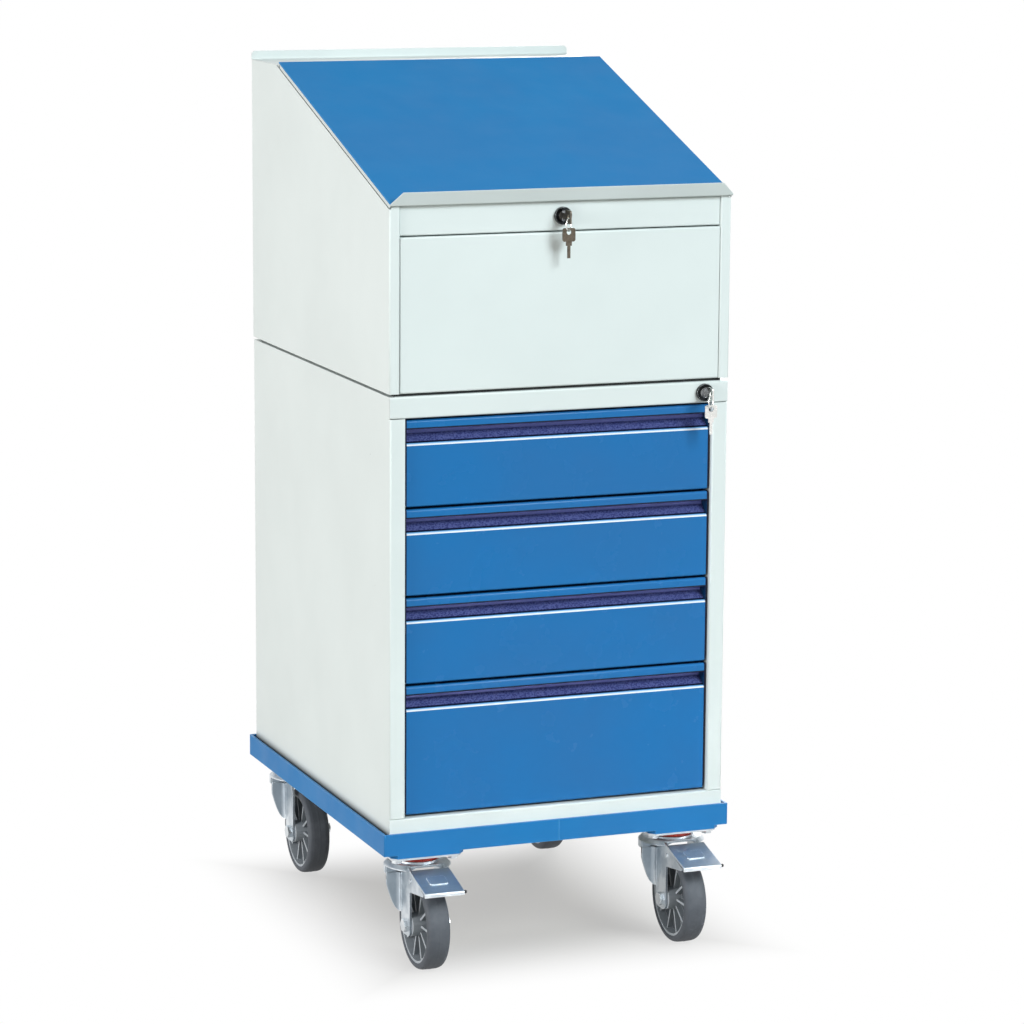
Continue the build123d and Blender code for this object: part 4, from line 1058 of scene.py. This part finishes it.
    def pieces(self) -> Iterator[bpy.types.Object]:
        """Four tyres, eight fork flanges and two pedal pegs.

        Returns:
            The pieces, one by one.
        """
        for place in self.places:
            yield self.tyre(place)
            for hand in ("left", "right"):
                yield self.flange(place, hand)
        for place in self.braked:
            yield self.peg(place)


@dataclass
class Cabinet(Assembly):
    """The folded carcass with its runners and the black spacer under the desk."""

    title: str = "cabinet"

    def finishes(self) -> Dressing:
        """Grey coat outside, zinc runners and a matt black spacer.

        Returns:
            CAD node to its finish and the width of its eased edges.
        """
        shells = ("left_side", "right_side", "top", "floor", "back")
        found: Dressing = {f"cabinet_{shell}": (CARCASS_COAT, 0.3) for shell in shells}
        found["cabinet_runners"] = (ZINC, 0.0)
        found["desk_spacer"] = (BLACK_COAT, 0.0)
        return found


@dataclass
class Drawers(Assembly):
    """Four drawers with folded finger-recess fronts."""

    title: str = "drawers"

    def finishes(self) -> Dressing:
        """Blue fronts on grey boxes.

        Returns:
            CAD node to its finish and the width of its eased edges.
        """
        found: Dressing = {}
        for number, coat in enumerate(DRAWER_COATS, start=1):
            found[f"drawer_{number}_front"] = (coat, 0.3)
            found[f"drawer_{number}_box"] = (GREY_COAT, 0.0)
        return found


@dataclass
class Desk(Assembly):
    """The sloped desk: shell, lock rail, top shelf, lid tray, writing surface and hinge."""

    title: str = "desk"

    def finishes(self) -> Dressing:
        """Grey coat on the shell, blue on the writing surface, zinc on the hinge.

        Returns:
            CAD node to its finish and the width of its eased edges.
        """
        shells = ("left_side", "right_side", "floor", "back", "front_panel", "lock_rail")
        found: Dressing = {f"desk_{shell}": (GREY_COAT, 0.3) for shell in shells}
        found["desk_top_shelf"] = found["lid_tray"] = (TRAY_COAT, 0.3)
        found["writing_surface"] = (LID_COAT, 0.4)
        found["lid_hinge_fixed"] = found["lid_hinge_moving"] = (ZINC, 0.0)
        return found


@dataclass
class Locks(Assembly):
    """Two cam locks with their keys, rings and spare keys."""

    title: str = "locks"

    def finishes(self) -> Dressing:
        """Dark collars, chrome plugs, handled keys on the desk and new ones on the cabinet.

        Returns:
            CAD node to its finish and the width of its eased edges.
        """
        found: Dressing = {"lock_housings": (DARK_CHROME, 0.3)}
        for name, nickel in (("desk", KEY_NICKEL), ("cabinet", KEY_BRIGHT)):
            found[f"{name}_lock_plug"] = (CHROME, 0.2)
            found[f"{name}_key"] = (nickel, 0.2)
            found[f"{name}_key_ring"] = (KEY_BRIGHT, 0.2)
            found[f"{name}_spare_key"] = (nickel, 0.2)
        return found


@dataclass(frozen=True)
class Softbox:
    """A rectangular lamp: place, aim, width and height in metres, watts, and spread in degrees."""

    place: tuple[float, float, float]
    aim: tuple[float, float, float]
    width: float
    height: float
    power: float
    colour: str = "#ffffff"
    spread: float = 180.0


class Lamp(Enum):
    """The softboxes: a key at the right front, fills at the left and back, a low one on the castors."""

    KEY = Softbox((2.3, -5.0, 3.9), (0.0, -0.1, 0.5), 2.4, 2.4, 303.0, "#f0fbff")
    FILL = Softbox((-5.5, -1.2, 1.7), (0.0, 0.0, 0.6), 2.2, 2.2, 206.0)
    BACK = Softbox((3.0, 5.0, 1.9), (0.0, 0.0, 0.6), 2.2, 2.2, 190.0)
    LOW = Softbox((2.4, -3.2, 0.35), (0.0, -0.3, 0.12), 1.0, 0.5, 0.45, spread=18.0)


@dataclass
class Studio:
    """A pale floor, a white surround and soft lamps."""

    floor_half: float = 14.0
    floor_colour: str = "#9a968f"
    shade_x: float = 0.24
    shade_y: float = 0.28
    shade_from: float = -0.14
    shade_to: float = 0.11
    shade_white: float = 0.43
    ambient: float = 0.32

    def seen(self, tree: Tree) -> Socket:
        """Tells rays that look at a surface from rays that only gather its light.

        Args:
            tree: The node tree.

        Returns:
            1 for rays from the camera, off gloss and through glass, and otherwise 0.
        """
        found = ray = add_node(tree, Kind.RAY)
        for kind in ("Is Glossy Ray", "Is Transmission Ray"):
            found = add_node(tree, Kind.MATH, {0: found, 1: ray.node.outputs[kind]}, operation="MAXIMUM")
        return found

    def floor(self) -> None:
        """A flat sheet of four points: matt paper that keeps the shadow and shows white to the camera.

        Under the trolley the white gives way to the paper, by the distance from the base's rectangle.
        """
        span = np.array([-1.0, 1.0]) * self.floor_half
        x, y = np.meshgrid(span, span, indexing="xy")
        sheet = surface("floor", np.stack([x, y, np.zeros_like(x)], axis=-1), False, False)
        made = bpy.data.materials.new("matt_white_backdrop_paper")
        made.use_nodes = True
        tree = made.node_tree
        tree.nodes.clear()
        matt = add_node(tree, Kind.MATT, {"Color": linear(self.floor_colour)})
        glow = add_node(tree, Kind.GLOW, {"Color": WHITE, "Strength": 1.0})
        axes = add_node(tree, Kind.AXES, {0: add_node(tree, Kind.COORDS)}).node
        gaps = []
        for axis, half in ((Axis.X, self.shade_x), (Axis.Y, self.shade_y)):
            size = add_node(tree, Kind.MATH, {0: axes.outputs[axis.value]}, operation="ABSOLUTE")
            gaps.append(add_node(tree, Kind.MATH, {0: size, 1: half}, operation="SUBTRACT"))
        gap = add_node(tree, Kind.MATH, {0: gaps[0], 1: gaps[1]}, operation="MAXIMUM")
        fade = {VALUE: gap, FROM: self.shade_from, TO: self.shade_to, LOW: self.shade_white, HIGH: 1.0}
        away = add_node(tree, Kind.RANGE, fade, interpolation_type="SMOOTHSTEP")
        white = add_node(tree, Kind.MATH, {0: self.seen(tree), 1: away}, operation="MULTIPLY")
        add_node(tree, Kind.OUTPUT, {"Surface": add_node(tree, Kind.BLEND, {0: white, 1: matt, 2: glow})})
        sheet.data.materials.append(made)

    def surround(self) -> None:
        """A world that lights softly and shows white to the camera, to gloss and through glass."""
        world = bpy.data.worlds.new("white_surround")
        world.use_nodes = True
        tree = world.node_tree
        tree.nodes.clear()
        soft = add_node(tree, Kind.SKY, {"Color": WHITE, "Strength": self.ambient})
        white = add_node(tree, Kind.SKY, {"Color": WHITE, "Strength": 1.0})
        both = add_node(tree, Kind.BLEND, {0: self.seen(tree), 1: soft, 2: white})
        add_node(tree, Kind.WORLD, {"Surface": both})
        bpy.context.scene.world = world

    def lamps(self) -> None:
        """Rectangular area lamps, each turned to its aim."""
        for lamp in Lamp:
            box = lamp.value
            light = bpy.data.lights.new(f"softbox_{lamp.name.lower()}", "AREA")
            light.shape = "RECTANGLE"
            light.size = box.width
            light.size_y = box.height
            light.energy = box.power
            light.spread = math.radians(box.spread)
            light.color = linear(box.colour)[:3]
            holder = bpy.data.objects.new(light.name, light)
            holder.location = box.place
            holder.rotation_euler = (Vector(box.aim) - Vector(box.place)).to_track_quat("-Z", "Y").to_euler()
            bpy.context.scene.collection.objects.link(holder)

    def make(self) -> None:
        """Sets the floor, the surround and the lamps."""
        self.floor()
        self.surround()
        self.lamps()
        LOG.info("studio: floor, surround and %d lamps", len(Lamp))


@dataclass
class PhotoCamera:
    """The photograph's camera: its place from the cabinet's front, its angles and its focal length."""

    place: tuple[float, float, float] = (-1.876, -4.639, 1.542)
    azimuth: float = 21.27
    elevation: float = 10.45
    roll: float = 0.37
    focal_px: float = 3790.0
    frame_px: float = 1024.0
    sensor_mm: float = 36.0
    clip_end: float = 100.0

    def make(self) -> None:
        """Makes the scene's camera, looking along its azimuth and down by its elevation."""
        data = bpy.data.cameras.new("photo_camera")
        data.sensor_fit = "HORIZONTAL"
        data.sensor_width = self.sensor_mm
        data.lens = self.focal_px / self.frame_px * self.sensor_mm
        data.clip_end = self.clip_end
        holder = bpy.data.objects.new("photo_camera", data)
        turn = (
            Matrix.Rotation(math.radians(-self.azimuth), 4, "Z")
            @ Matrix.Rotation(math.radians(90.0 - self.elevation), 4, "X")
            @ Matrix.Rotation(math.radians(self.roll), 4, "Z")
        )
        x, y, z = self.place
        front_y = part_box("cabinet_left_side")[0].y
        holder.matrix_world = Matrix.Translation((x, front_y + y, z)) @ turn
        bpy.context.scene.collection.objects.link(holder)
        bpy.context.scene.camera = holder
        LOG.info("camera: lens %.1f mm", data.lens)


def main() -> None:
    """Builds the sub-assemblies in order, then the studio and the camera."""
    logging.basicConfig(level=logging.INFO, format="%(name)s %(message)s")
    bpy.context.scene.view_settings.view_transform = "Standard"
    for assembly in (BaseFrame(), Castors(), Cabinet(), Drawers(), Desk(), Locks()):
        assembly.make()
    Studio().make()
    PhotoCamera().make()


if __name__ == "__main__":
    main()
